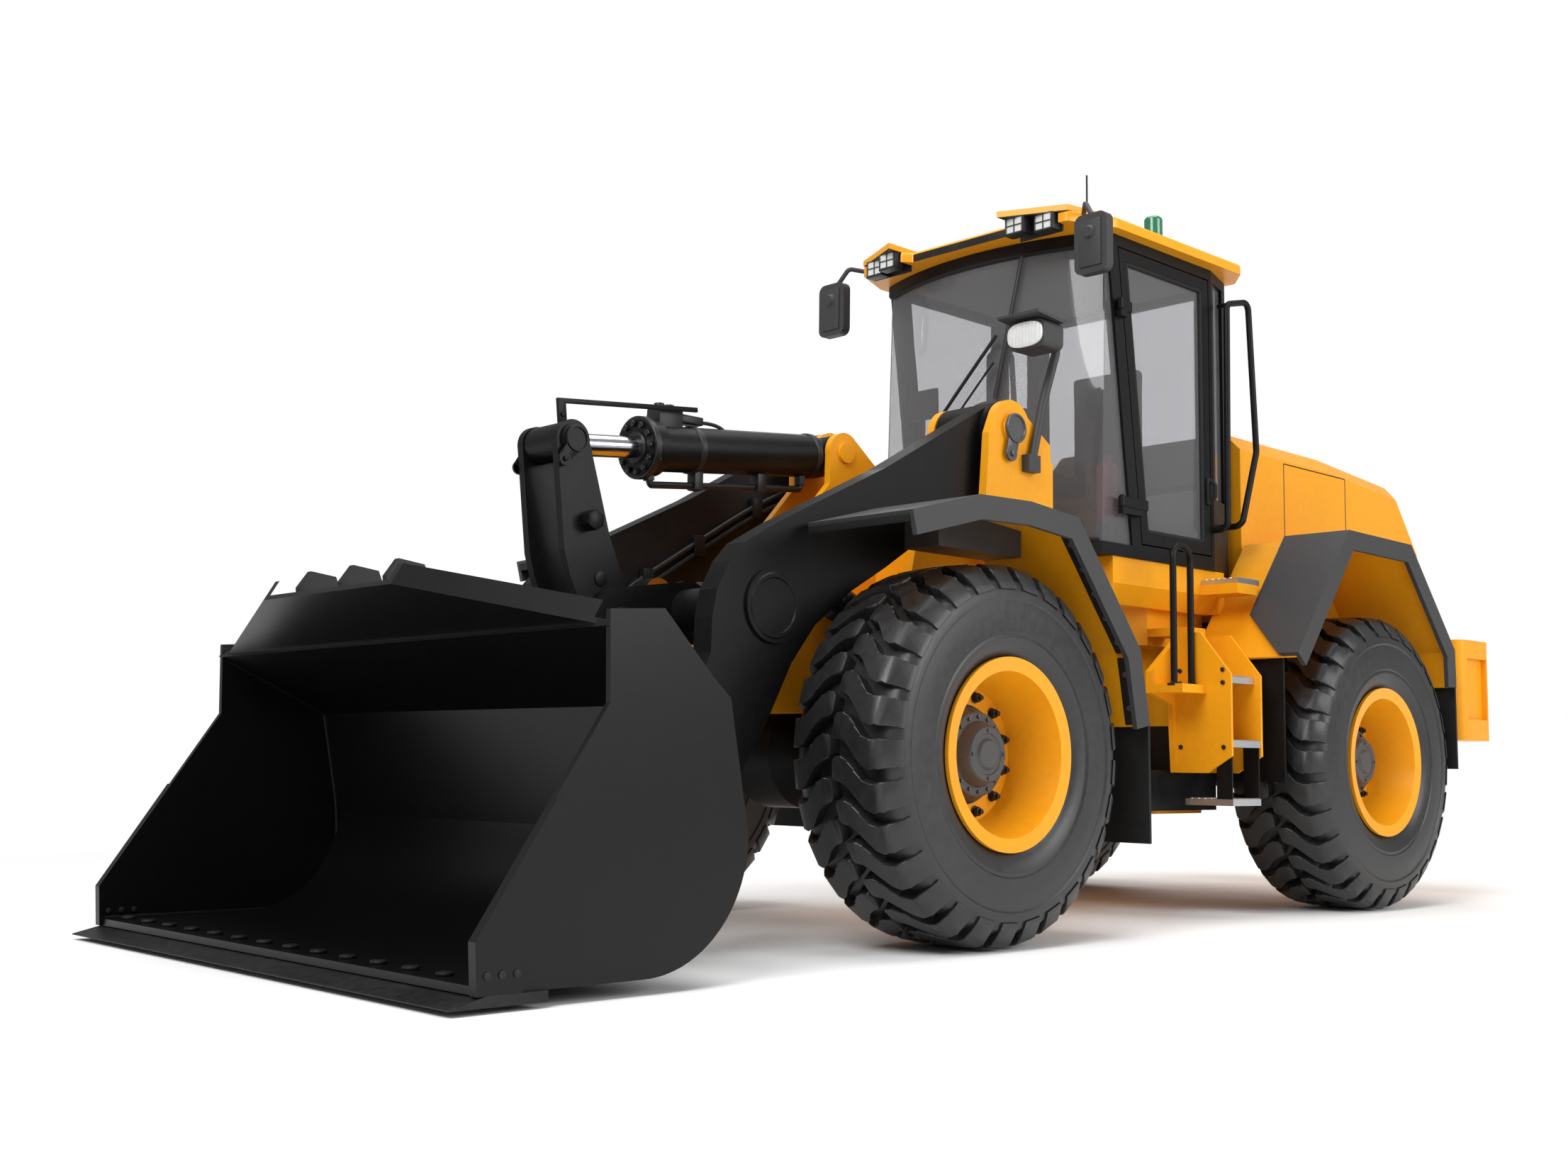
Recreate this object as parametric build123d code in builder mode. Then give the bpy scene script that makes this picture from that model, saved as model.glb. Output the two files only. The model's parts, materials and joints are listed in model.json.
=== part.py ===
"""Articulated wheel loader with a Z-bar loading linkage.

Millimetres. +X points forward, +Y to the left, +Z up, and the wheels stand on Z = 0.
"""

import os
from math import cos, radians, sin

from build123d import *

os.makedirs("parts", exist_ok=True)

# Driving dimensions
wheelbase = 3030
front_axle_x = 1145
tyre_r = 745
tyre_w = 530
track = 1950
seat_r = 326
flange_r = seat_r + 48
spindle_r = 90
run_gap = 0.05
side_gap = 8
skin = 25

# Places that other pieces are measured from
rear_axle_x = front_axle_x - wheelbase
pivot_x = front_axle_x - wheelbase / 2
axle_z = tyre_r
wheel_y = track / 2
tyre_in = wheel_y - tyre_w / 2
tyre_out = wheel_y + tyre_w / 2
front_tail = pivot_x + 435
rear_nose = pivot_x - 235

# Pins of the loading linkage, as X and Z
arm_pin = (front_axle_x - 610, 2165)
tilt_pin = (front_axle_x - 194, 2076)
crank_pin = (front_axle_x + 1090, 1237)
crank_top = (front_axle_x + 1300, 1925)
link_pin = (front_axle_x + 765, 980)
bucket_link = (front_axle_x + 1230, 590)
bucket_pin = (front_axle_x + 1240, 365)
lift_base = (front_axle_x - 950, 900)
lift_eye = (front_axle_x + 400, 1430)
cross_tube = (front_axle_x + 742, 1294)

# Steering cylinder ends, as X and Y, at one height
steer_z = 800
steer_foot = (pivot_x - 655, 250)
steer_eye = (pivot_x + 295, 330)

# Sizes across the machine
arm_in = 560
arm_out = 660
tower_in = 360
tower_out = 400
ear_in = 700
ear_out = 740
crank_in = 95
crank_out = 130
bracket_out = 175
lift_y = 480
bucket_half = 1289

arm_pin_r = 60
bucket_pin_r = 45
crank_pin_r = 50
link_pin_r = 40
tilt_pin_r = 45
pivot_r = 60
arm_eye_r = 128
bucket_eye_r = 125
tilt_eye_r = 92


def face_xz(points, y, corner=0.0):
    """A side outline as a face that looks towards -Y at the given Y."""
    with BuildSketch(Plane.XZ.offset(-y)) as outline:
        with BuildLine():
            Polyline(*points, close=True)
        make_face()
        if corner:
            fillet(outline.vertices(), corner)
    return outline.sketch


def plate(points, y_low, y_high, corner=0.0, mode=Mode.ADD):
    """A flat plate cut to a side outline, between two Y places."""
    extrude(face_xz(points, y_high, corner), amount=y_high - y_low, mode=mode)


def strip(points, thick, y_low, y_high, mode=Mode.ADD):
    """A bent sheet that follows a side outline, with its thickness on the right of the walk."""
    with BuildSketch(Plane.XZ.offset(-y_high)) as section:
        with BuildLine() as walk:
            Polyline(*points)
            offset(walk.line, amount=thick, kind=Kind.INTERSECTION, side=Side.RIGHT)
        make_face()
    extrude(section.sketch, amount=y_high - y_low, mode=mode)


def deck(points, z_low, z_high, corner=0.0, mode=Mode.ADD):
    """A flat plate cut to a plan outline, between two heights."""
    with BuildSketch(Plane.XY.offset(z_low)) as outline:
        with BuildLine():
            Polyline(*points, close=True)
        make_face()
        if corner:
            fillet(outline.vertices(), corner)
    extrude(outline.sketch, amount=z_high - z_low, mode=mode)


def block(x_span, y_span, z_span, mode=Mode.ADD):
    """A box between pairs of X, Y and Z places."""
    spans = (x_span, y_span, z_span)
    with Locations(tuple((a + b) / 2 for a, b in spans)):
        Box(*(b - a for a, b in spans), mode=mode)


def across(place, radius, y_low, y_high, mode=Mode.ADD):
    """A round bar or bore along Y at an X and Z place."""
    with Locations(Location((place[0], (y_low + y_high) / 2, place[1]), (90, 0, 0))):
        Cylinder(radius, y_high - y_low, mode=mode)


def upright(x, y, radius, z_low, z_high, mode=Mode.ADD):
    """A round bar or bore along Z."""
    with Locations((x, y, (z_low + z_high) / 2)):
        Cylinder(radius, z_high - z_low, mode=mode)


def bar(start, end, radius, mode=Mode.ADD):
    """A round bar between two points."""
    line = Vector(*end) - Vector(*start)
    with BuildSketch(Plane(origin=start, z_dir=line)) as section:
        Circle(radius)
    extrude(section.sketch, amount=line.length, mode=mode)


def tube_run(points, radius, bend):
    """A bent round rail through a few points."""
    with BuildLine() as run:
        FilletPolyline(*points, radius=bend)
    with BuildSketch(Plane(origin=points[0], z_dir=run.line % 0)) as section:
        Circle(radius)
    sweep(section.sketch, path=run.line)


def round_end(place, radius, start, span):
    """The two points where an outline meets a disc about an X and Z place, from a start angle over a span."""
    turn = (radians(start), radians(start + span))
    return [(place[0] + radius * cos(a), place[1] + radius * sin(a)) for a in turn]


def save(piece, label):
    """Name a finished piece and write it out."""
    piece.part.label = label
    export_step(piece.part, f"parts/{label}.step")


def from_front(*points):
    """Side points given from the front axle, as X and Z."""
    return [(front_axle_x + x, z) for x, z in points]


def from_rear(*points):
    """Side points given from the rear axle, as X and Z."""
    return [(rear_axle_x + x, z) for x, z in points]


# Wheels, built about the origin with the outer side at +Y
lug_count = 18
lug_reach = 100
crown_r = (tyre_r**2 - lug_reach**2) ** 0.5
groove_r = tyre_r - 46
half_w = tyre_w / 2
tyre_section = (
    (-190, seat_r), (-225, seat_r + 40), (-half_w, 500), (-half_w + 8, 600), (-half_w + 40, groove_r - 25),
    (-150, groove_r), (150, groove_r), (half_w - 40, groove_r - 25), (half_w - 8, 600), (half_w, 500),
    (225, seat_r + 40), (190, seat_r),
)
# Each lug: inner y, outer y, shoulder drop, shift round the tread, length round the tread
lug_blocks = ((18, 135, 0, 34, 120), (115, half_w, 95, -34, 132))

with BuildPart() as lug:
    for y_in, y_out, drop, shift, length in lug_blocks:
        with BuildSketch(Plane.YZ.offset(shift - length / 2)) as block_face:
            with BuildLine():
                if drop:
                    Polyline(
                        (y_in, groove_r - 30), (y_in, crown_r), (y_out - 60, crown_r - 8),
                        (y_out, crown_r - drop), (y_out, crown_r - drop - 60), (y_out - 70, groove_r - 40), close=True,
                    )
                else:
                    Polyline((y_in, groove_r - 30), (y_in, crown_r), (y_out, crown_r), (y_out, groove_r - 30), close=True)
            make_face()
        extrude(block_face.sketch, amount=length)

with BuildPart() as tyre:
    with BuildSketch(Plane.YZ) as carcass:
        with BuildLine():
            Polyline(*tyre_section, close=True)
        make_face()
    revolve(axis=Axis.Y)
    lugs = []
    for n in range(lug_count):
        lugs.append(lug.part.rotate(Axis.Y, 360 * n / lug_count))
        lugs.append(lug.part.mirror(Plane.XZ).rotate(Axis.Y, 360 * (n + 0.5) / lug_count))
    add(lugs)

hub_r = 175
rim_section = (
    (-215, seat_r), (-228, flange_r), (-246, flange_r), (-238, seat_r - 22), (-30, seat_r - 40),
    (-30, hub_r), (-70, hub_r), (-70, 0), (120, 0), (120, 105), (70, 125), (70, hub_r - 15), (10, hub_r),
    (10, seat_r - 56), (150, seat_r - 26), (238, seat_r - 6), (246, flange_r), (228, flange_r), (215, seat_r),
)
with BuildPart() as rim:
    with BuildSketch(Plane.YZ) as rim_face:
        with BuildLine():
            Polyline(*rim_section, close=True)
        make_face()
    revolve(axis=Axis.Y)
    across((0, 0), spindle_r + run_gap, -80, 60, mode=Mode.SUBTRACT)

wheel_places = {
    "front_left": (front_axle_x, 1),
    "front_right": (front_axle_x, -1),
    "rear_left": (rear_axle_x, 1),
    "rear_right": (rear_axle_x, -1),
}
for name, (x, side) in wheel_places.items():
    for source, label in ((tyre, "tyre"), (rim, "rim")):
        shape = source.part if side > 0 else source.part.mirror(Plane.XZ)
        with BuildPart() as wheel_piece:
            add(shape.moved(Location((x, side * wheel_y, axle_z))))
        save(wheel_piece, f"{label}_{name}")

# Axles: half width outwards and radius, turned about the axle line
axle_section = (
    (0, 0), (0, 235), (110, 235), (200, 140), (560, 118), (590, 172), (tyre_in - 10, 172),
    (tyre_in - 10, spindle_r), (wheel_y + 50, spindle_r), (wheel_y + 50, 0),
)
seat_top = 905
for label, x in (("front_axle", front_axle_x), ("rear_axle", rear_axle_x)):
    with BuildPart() as axle:
        with BuildSketch(Plane.YZ.offset(x)) as half_axle:
            with BuildLine():
                Polyline(*[(y, axle_z + r) for y, r in axle_section], close=True)
            make_face()
        revolve(axis=Axis((x, 0, axle_z), (0, 1, 0)))
        block((x - 120, x + 120), (300, 430), (axle_z, seat_top))
        mirror(about=Plane.XZ)
    save(axle, label)

# Fenders: bent sheets over the tyres, with a rubber flap hung behind each
front_arch = from_front((589, 1600), (207, 1700), (-97, 1708), (-398, 1680), (-812, 1181), (-874, 873))
rear_arch = from_rear((880, 1237), (368, 1865), (-278, 1856), (-743, 1343), (-748, 1152))
fender_in = tyre_in - 15
deck_half = 690
flap_t = 14


def outer_side(start, end):
    """The outer face of a fender's flat stretch, as two side points."""
    along = (Vector(*end) - Vector(*start)).normalized()
    lift = Vector(along.Y, -along.X) * skin
    return [Vector(*start) + lift, Vector(*end) + lift]


fender_back = outer_side(front_arch[3], front_arch[4])
liner = 10
lip_drop = 70
lip_t = 22
# Each fender set: name, arch outline, inner edge, lowest point of its flap
rear_fender_in = tyre_in + 175
under_box = (780, 960)
fender_sets = (("front", front_arch, fender_in, 385), ("rear", rear_arch, rear_fender_in, 715))
corner_cut = ((rear_fender_in - 10, 1470), (rear_fender_in - 10, 1200), (tyre_out - 90, 1200), (tyre_out - 90, 1237))
for end_name, arch, inner, flap_low in fender_sets:
    with BuildPart() as fenders:
        strip(arch, skin, inner, tyre_out)
        strip(arch[::-1], lip_drop, tyre_out - lip_t, tyre_out)
        if end_name == "front":
            block((front_axle_x - 390, front_axle_x + 130), under_box, (1560, 1705))
            strip(arch[::-1], liner, inner, tyre_out - lip_t, mode=Mode.SUBTRACT)
        else:
            with BuildSketch(Plane.YZ.offset(arch[1][0] + 60)) as corner_face:
                with BuildLine():
                    Polyline(*corner_cut, close=True)
                make_face()
            extrude(corner_face.sketch, amount=600, mode=Mode.SUBTRACT)
        mirror(about=Plane.XZ)
    save(fenders, f"{end_name}_fenders")
    top, foot = outer_side(arch[-2], arch[-1])
    with BuildPart() as flaps:
        strip([(v.X, v.Y) for v in (top * 0.4 + foot * 0.6, foot)] + [(foot.X - 4, flap_low)], flap_t, inner + 60, tyre_out - 10)
        mirror(about=Plane.XZ)
    save(flaps, f"{end_name}_flaps")

# Front frame: side plates that carry the tower, cross plates, ears and the steering lugs
lug_low_z = (540, 610)
lug_high_z = (1090, 1160)
tower_plate = [(front_tail, 520)] + from_front((-330, 520), (-270, seat_top), (520, seat_top), (600, 1000), (600, 1120),
                         (330, 1260), (-330, 1500), (-455, 2050)) \
    + round_end(arm_pin, arm_eye_r, 20, 140) \
    + from_front((-880, 1850), (-900, 1250)) + [(front_tail, 1170)]
ear_plate = [tuple(fender_back[0])[:2]] + from_front((-455, 2130)) + round_end(arm_pin, arm_eye_r, 20, 130) \
    + from_front((-880, 2130), (-900, 1715)) + [tuple(fender_back[0] * 0.45 + fender_back[1] * 0.55)[:2]]
tilt_plate = from_front((300, 1240), (300, 1500), (-100, 1930)) + round_end(tilt_pin, tilt_eye_r, -10, 130) \
    + from_front((-420, 2020), (-420, 1240))

with BuildPart() as front_frame:
    plate(tower_plate, tower_in, tower_out)
    across(arm_pin, arm_eye_r, tower_in, tower_out)
    across(arm_pin, arm_eye_r, ear_in, ear_out)
    across(tilt_pin, tilt_eye_r, crank_in, crank_out)
    plate(ear_plate, ear_in, ear_out)
    strip(front_arch[::-1], liner, fender_in, tyre_out - lip_t)
    plate(tilt_plate, crank_in, crank_out)
    block((front_axle_x - 900, front_axle_x - 860), (tower_out, ear_out), (1560, 2050))
    block((front_axle_x - 900, front_axle_x - 760), (tower_out, ear_out), (1560, 1600))
    across(arm_pin, arm_pin_r, tower_in, ear_out + 14)
    across(tilt_pin, tilt_pin_r, 0, crank_out + 14)
    block((front_axle_x - 430, front_axle_x - 400), (0, tower_in), (1240, 2000))
    block((front_axle_x - 880, front_axle_x + 560), (0, tower_in), (1080, 1130))
    block((front_axle_x + 260, front_axle_x + 560), (0, tower_in), (seat_top, 935))
    block((front_tail, front_axle_x - 300), (0, tower_in), (520, 560))
    block((front_tail, front_tail + 40), (0, tower_in), (560, 1130))
    across(lift_base, 48, tower_out, lift_y + 75)
    for z_low, z_high in (lug_low_z, lug_high_z):
        block((pivot_x, front_tail + 20), (0, 130), (z_low, z_high))
        upright(pivot_x, 0, 130, z_low, z_high)
    for z_low in (steer_z - 90, steer_z + 50):
        block((steer_eye[0] - 55, front_tail + 20), (steer_eye[1] - 55, steer_eye[1] + 55), (z_low, z_low + 40))
    mirror(about=Plane.XZ)
    for z_low, z_high in (lug_low_z, lug_high_z):
        upright(pivot_x, 0, pivot_r + run_gap, z_low - 1, z_high + 1, mode=Mode.SUBTRACT)
save(front_frame, "front_frame")

# Rear frame: side plates over the axle, cross plates, deck under the cab and the steering clevises
rear_half = 400
rear_end = rear_axle_x - 1800
weight_front = rear_end + 500
rear_plate = [(rear_nose, 470), (rear_nose, 1230)] + from_rear((700, 1260)) + [(weight_front, 1260), (weight_front, seat_top)] \
    + from_rear((300, seat_top), (420, 470))
base_half = 560
tub_low = 1475
tub_plan = ((pivot_x + 130, 420), (pivot_x + 90, deck_half), (rear_axle_x + 640, deck_half), (rear_axle_x + 640, 0),
            (pivot_x + 130, 0))
base_plan = ((pivot_x - 220, 400), (pivot_x - 380, base_half), (rear_axle_x + 640, base_half), (rear_axle_x + 640, 0),
             (pivot_x - 220, 0))
tub_slope = ((deck_half - 70, tub_low - 1), (deck_half + 1, tub_low - 1), (deck_half + 1, tub_low + 90))
wheel_wall = from_rear((800, 1230), *[(x - rear_axle_x, z) for x, z in rear_arch[:4]], (-743, 1230))
clevis_gap = 8
clevis_t = 50
with BuildPart() as rear_frame:
    plate(rear_plate, rear_half - 40, rear_half)
    block((weight_front, rear_nose), (0, rear_half - 40), (1180, 1220))
    block((rear_axle_x + 420, rear_nose), (0, rear_half - 40), (470, 510))
    block((rear_nose - 40, rear_nose), (0, rear_half - 40), (510, 1180))
    strip(rear_arch[::-1], liner, deck_half - 40, tyre_out - lip_t)
    plate(wheel_wall, deck_half - 40, deck_half)
    block((rear_axle_x - 620, rear_axle_x + 700), (rear_half, deck_half), (1230, 1260))
    deck(tub_plan, tub_low, 1690)
    with BuildSketch(Plane.YZ.offset(rear_axle_x + 700)) as slope_face:
        with BuildLine():
            Polyline(*tub_slope, close=True)
        make_face()
    extrude(slope_face.sketch, amount=1600, mode=Mode.SUBTRACT)
    deck(base_plan, 1300, tub_low)
    block((rear_axle_x + 700, rear_nose - 40), (0, 400), (1220, 1300))
    for z_low, z_high in (lug_low_z, lug_high_z):
        for low in (z_low - clevis_gap - clevis_t, z_high + clevis_gap):
            block((rear_nose - 20, pivot_x), (0, 125), (low, low + clevis_t))
            upright(pivot_x, 0, 125, low, low + clevis_t)
        upright(pivot_x, 0, pivot_r, z_low - clevis_gap - clevis_t, z_high + clevis_gap + clevis_t)
    block((rear_nose - 260, rear_nose + 20), (60, rear_half + 1), (steer_z - 70, steer_z + 70), mode=Mode.SUBTRACT)
    for z_low in (steer_z - 90, steer_z + 50):
        block((steer_foot[0] - 60, steer_foot[0] + 60), (steer_foot[1] - 60, rear_half - 40), (z_low, z_low + 40))
    upright(steer_foot[0], steer_foot[1], 30, steer_z - 90, steer_z + 90)
    mirror(about=Plane.XZ)
save(rear_frame, "rear_frame")

# Engine, one plain block between the rear plates and the bonnet
with BuildPart() as engine:
    block((rear_axle_x - 1150, rear_axle_x + 140), (-350, 350), (1220, 2150))
save(engine, "engine")

# Counterweight: a cast block with rounded corners, a recess each side and a tow hitch
weight_top = 1455
weight_low = 880
bonnet_hinge = (rear_axle_x - 1660, 1500)
weight_half = 1040
hitch_r = 22
hitch_x = rear_end + 110
with BuildPart() as counterweight:
    deck(((weight_front, -weight_half), (weight_front, weight_half), (rear_end + 160, weight_half),
          (rear_end, weight_half - 200), (rear_end, 200 - weight_half), (rear_end + 160, -weight_half)),
         weight_low, weight_top, corner=60)
    deck(((weight_front, -360), (weight_front, 360), (rear_end + 60, 360), (rear_end + 60, -360)), 640, weight_low)
    for side in (1, -1):
        block((rear_end + 190, weight_front - 60), (side * weight_half - 30, side * weight_half + 30), (1000, 1350),
              mode=Mode.SUBTRACT)
    block((rear_end - 1, rear_end + 200), (-110, 110), (700, 800), mode=Mode.SUBTRACT)
    block((rear_end - 1, rear_end + 220), (-150, 150), (weight_low - 20, 1120), mode=Mode.SUBTRACT)
    upright(hitch_x, 0, hitch_r, 600, 900, mode=Mode.SUBTRACT)
    for y in (-550, 490):
        block((bonnet_hinge[0] - 34, bonnet_hinge[0] + 34), (y, y + 40), (weight_top, bonnet_hinge[1] + 34))
    for y in (-520, 430):
        across(bonnet_hinge, 14, y, y + 70 if y > 0 else y + 90)
save(counterweight, "counterweight")

# Bonnet: a hollow lid with a sloping top, a nose over the counterweight and a vent each side
bonnet_half = 620
bonnet_low = 1475
wall = 30
hinge_r = 14
bonnet_side = from_rear((350, bonnet_low), (350, 2470), (-620, 2463), (-1440, 2400), (-1640, 2160), (-1690, bonnet_low))
bonnet_hollow = from_rear((320, bonnet_low - 5), (320, 2440), (-620, 2433), (-1425, 2372), (-1610, 2150),
                          (-1655, bonnet_low - 5))


def bonnet_form(outline, half):
    """The bonnet's outer or inner form, with its top edges taken off at a slope."""
    with BuildPart() as form:
        plate(outline, -half, half)
        top = form.edges().filter_by(lambda e: e.center().Z > 2250 and abs(e.center().Y) > half - 1)
        chamfer(top.filter_by(lambda e: abs(e.tangent_at(0).X) > 0.5), 90)
    return form.part


with BuildPart() as bonnet:
    add(bonnet_form(bonnet_side, bonnet_half))
    add(bonnet_form(bonnet_hollow, bonnet_half - wall), mode=Mode.SUBTRACT)
    block((rear_axle_x - 1800, rear_axle_x - 1560), (-430, 430), (1600, 2120), mode=Mode.SUBTRACT)
    for y in (-495, 495):
        block((bonnet_hinge[0] - 140, bonnet_hinge[0] + 60), (y - 70, y + 70), (bonnet_low - 1, 1580), mode=Mode.SUBTRACT)
    for y in (-480, 440):
        across(bonnet_hinge, 34, y, y + 40)
        block((bonnet_hinge[0] - 16, bonnet_hinge[0] + 16), (y, y + 40), (bonnet_hinge[1], 1585))
        across(bonnet_hinge, hinge_r + run_gap, y - 1, y + 41, mode=Mode.SUBTRACT)
save(bonnet, "bonnet")

with BuildPart() as grille:
    for side in (1, -1):
        block((rear_axle_x - 1655, rear_axle_x - 1625), (side * 415 - 15, side * 415 + 15), (1600, 2120))
    for n in range(9):
        low = 1600 + n * 61.25
        block((rear_axle_x - 1655, rear_axle_x - 1625), (-430, 430), (low, low + 30))
save(grille, "grille")

with BuildPart() as rear_lamps:
    plate(from_rear((-1683.8, 1560), (-1659, 1900), (-1689, 1900), (-1713.8, 1560)), 455, 580)
    mirror(about=Plane.XZ)
save(rear_lamps, "rear_lamps")

# Headlamp with a hood, on a bent post from the left tower ear
post_y = ear_out + 20
lamp_mid = (front_axle_x - 660, ear_out + 60, 2578)
with BuildPart() as headlamps:
    tube_run(((front_axle_x - 719, post_y, 2020), (front_axle_x - 800, post_y, 2300), (front_axle_x - 880, post_y + 20, 2560),
              (front_axle_x - 770, post_y + 20, 2640)), 20, 40)
    block((front_axle_x - 760, front_axle_x - 678), (ear_out, ear_out + 40), (1985, 2060))
    block((lamp_mid[0] - 110, lamp_mid[0] + 30), (lamp_mid[1] - 98, lamp_mid[1] + 98), (lamp_mid[2] - 62, lamp_mid[2] + 62))
    fillet(headlamps.edges().filter_by(Axis.X).filter_by(lambda e: e.center().Z > 2500), 30)
    plate([(lamp_mid[0] - 100, lamp_mid[2] + 56), (lamp_mid[0] + 90, lamp_mid[2] + 74), (lamp_mid[0] + 90, lamp_mid[2] + 86),
           (lamp_mid[0] - 100, lamp_mid[2] + 72)], lamp_mid[1] - 112, lamp_mid[1] + 112)
save(headlamps, "headlamps")

# Cab: a hollow shell lofted between a floor outline and a roof outline, with the windows cut out
cab_low = 1690
cab_high = 3245
cab_half = 700
cab_back = rear_axle_x + 480
wall_t = 50


def cab_outline(front, corner_x, inset):
    """Plan of the cab: a bowed front between two corners, straight sides and a narrower back."""
    half = cab_half - inset
    back = cab_back + inset
    with BuildLine() as line:
        bow = ThreePointArc((corner_x - inset, -half), (front - inset, 0), (corner_x - inset, half))
        Polyline(bow @ 1, (cab_back + 260, half), (back, half - 80), (back, 80 - half), (cab_back + 260, -half), bow @ 0)
    return line


def cab_solid(inset, low, high):
    """The cab body as one solid, drawn in by an inset."""
    with BuildPart() as solid:
        with BuildSketch(Plane.XY.offset(low)):
            add(cab_outline(pivot_x + 335, pivot_x + 185, inset).line)
            make_face()
        with BuildSketch(Plane.XY.offset(high)):
            add(cab_outline(pivot_x + 285, pivot_x + 135, inset).line)
            make_face()
        loft()
    return solid.part


# The pillar before the door leans: X at the sill and X at the roof
pillar_x = (pivot_x - 135, pivot_x + 45)
pillar_w = 75
door_back = rear_axle_x + 765
sill_z = 1760
head_z = 3190
door_gap = 7
door_rim = 55
hinge_z = (1950, 2900)
door_hinge = (pillar_x[1] + 12, cab_half + 22)
cab_shell = cab_solid(0, cab_low, cab_high) - cab_solid(wall_t, cab_low + 40, cab_high - 1)
glass_shell = cab_solid(14, cab_low + 1, cab_high - 1) - cab_solid(20, cab_low, cab_high)


def pillar_at(z):
    """X of the leaning pillar's rear edge at a height."""
    return pillar_x[0] + (pillar_x[1] - pillar_x[0]) * (z - sill_z) / (head_z - sill_z)


def leaning(front_inset, back_x, low, high, y_span):
    """A cutting prism behind the leaning pillar, from a back place, between two heights."""
    with BuildPart() as prism:
        plate([(back_x, low), (pillar_at(low) - front_inset, low), (pillar_at(high) - front_inset, high), (back_x, high)],
              *y_span)
    return prism.part


def opening(points, y_span):
    """A cutting prism for a window, from its side outline."""
    with BuildPart() as prism:
        plate(points, *y_span)
    return prism.part


left = (cab_half - 130, cab_half + 100)
right = (-left[1], -left[0])
screen_low = cab_low + 60
screen_high = cab_high - 55
front_window = opening([(pillar_x[0] + pillar_w, screen_low), (front_axle_x - 900, screen_low), (front_axle_x - 900, screen_high),
                        (pillar_x[1] + pillar_w, screen_high)], (-cab_half - 100, cab_half + 100))
rear_window = opening([(cab_back - 80, 2190), (cab_back + 80, 2190), (cab_back + 80, head_z), (cab_back - 80, head_z)],
                      (-520, 520))
right_window = leaning(30, door_back + 30, sill_z + 30, head_z, right)
quarter = [leaning(0, cab_back + 60, 2060, head_z, y) - leaning(0, door_back - 60, 2000, head_z + 50, y)
           for y in (left, right)]
door_hole = leaning(0, door_back, sill_z, head_z, left)
door_cut = leaning(door_gap, door_back + door_gap, sill_z + door_gap, head_z - door_gap, left)
door_window = leaning(door_gap + door_rim, door_back + door_gap + door_rim, sill_z + door_gap + door_rim,
                      head_z - door_gap - door_rim, left)

with BuildPart() as cab_frame:
    add(cab_shell)
    for hole in (front_window, rear_window, right_window, *quarter, door_hole):
        add(hole, mode=Mode.SUBTRACT)
    for z in hinge_z:
        post = pillar_at(z - 45)
        block((post + 10, post + 60), (cab_half - 30, door_hinge[1] + 14), (z - 60, z - 30))
        block((post + 10, door_hinge[0] + 14), (door_hinge[1] - 12, door_hinge[1] + 14), (z - 60, z - 30))
        upright(*door_hinge, 9, z - 40, z + 30)
save(cab_frame, "cab_frame")

with BuildPart() as cab_glass:
    for hole in (front_window, rear_window, right_window, *quarter):
        add(glass_shell & hole)
save(cab_glass, "cab_glass")

with BuildPart() as door:
    add(cab_shell & door_cut)
    add(door_window, mode=Mode.SUBTRACT)
    for z in hinge_z:
        edge = pillar_at(z)
        upright(*door_hinge, 16, z - 24, z + 24)
        block((edge - 50, door_hinge[0]), (door_hinge[1] - 14, door_hinge[1]), (z - 24, z + 24))
        block((edge - 50, edge - 15), (cab_half, door_hinge[1]), (z - 24, z + 24))
        upright(*door_hinge, 9 + run_gap, z - 25, z + 25, mode=Mode.SUBTRACT)
save(door, "door")

with BuildPart() as door_glass:
    add(glass_shell & door_window)
save(door_glass, "door_glass")

# Roof: a thin cap with two brows over the lamps
roof_t = 55
brow_low = cab_high + 52
brow_t = 28
brow_in = 347
brow_plan = ((pivot_x + 524, brow_in), (pivot_x + 383, 657), (pivot_x + 150, 700), (pivot_x + 150, brow_in))
roof_half = ((pivot_x + 440, brow_in), (pivot_x + 383, 657), (pivot_x + 136, 763), (rear_axle_x + 575, 775),
             (rear_axle_x + 440, 660))
roof_plan = [*roof_half, *[(x, -y) for x, y in reversed(roof_half)], (pivot_x + 385, 40 - brow_in),
             (pivot_x + 385, brow_in - 40)]
with BuildPart() as cab_roof:
    deck(roof_plan, cab_high, cab_high + roof_t, corner=25)
    fillet(cab_roof.edges().group_by(Axis.Z)[-1], 20)
    for side in (1, -1):
        block((pivot_x + 345, pivot_x + 600), (side * 478 - 131, side * 478 + 131), (cab_high - 1, brow_low),
              mode=Mode.SUBTRACT)
        deck([(x, side * y) for x, y in brow_plan], brow_low, brow_low + brow_t)
save(cab_roof, "cab_roof")

# Each roof lamp: X of its face and its Y
lamp_faces = ((pivot_x + 470, 410), (pivot_x + 420, 543))
with BuildPart() as roof_lamps:
    for x, y in lamp_faces:
        block((x - 60, x), (y - 50, y + 50), (brow_low - 80, brow_low))
    mirror(about=Plane.XZ)
save(roof_lamps, "roof_lamps")

with BuildPart() as beacon:
    upright(pivot_x - 350, 640, 52, cab_high + roof_t, cab_high + roof_t + 20)
    upright(pivot_x - 350, 640, 46, cab_high + roof_t + 20, cab_high + roof_t + 140)
    fillet(beacon.edges().group_by(Axis.Z)[-1], 22)
save(beacon, "beacon")

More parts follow.
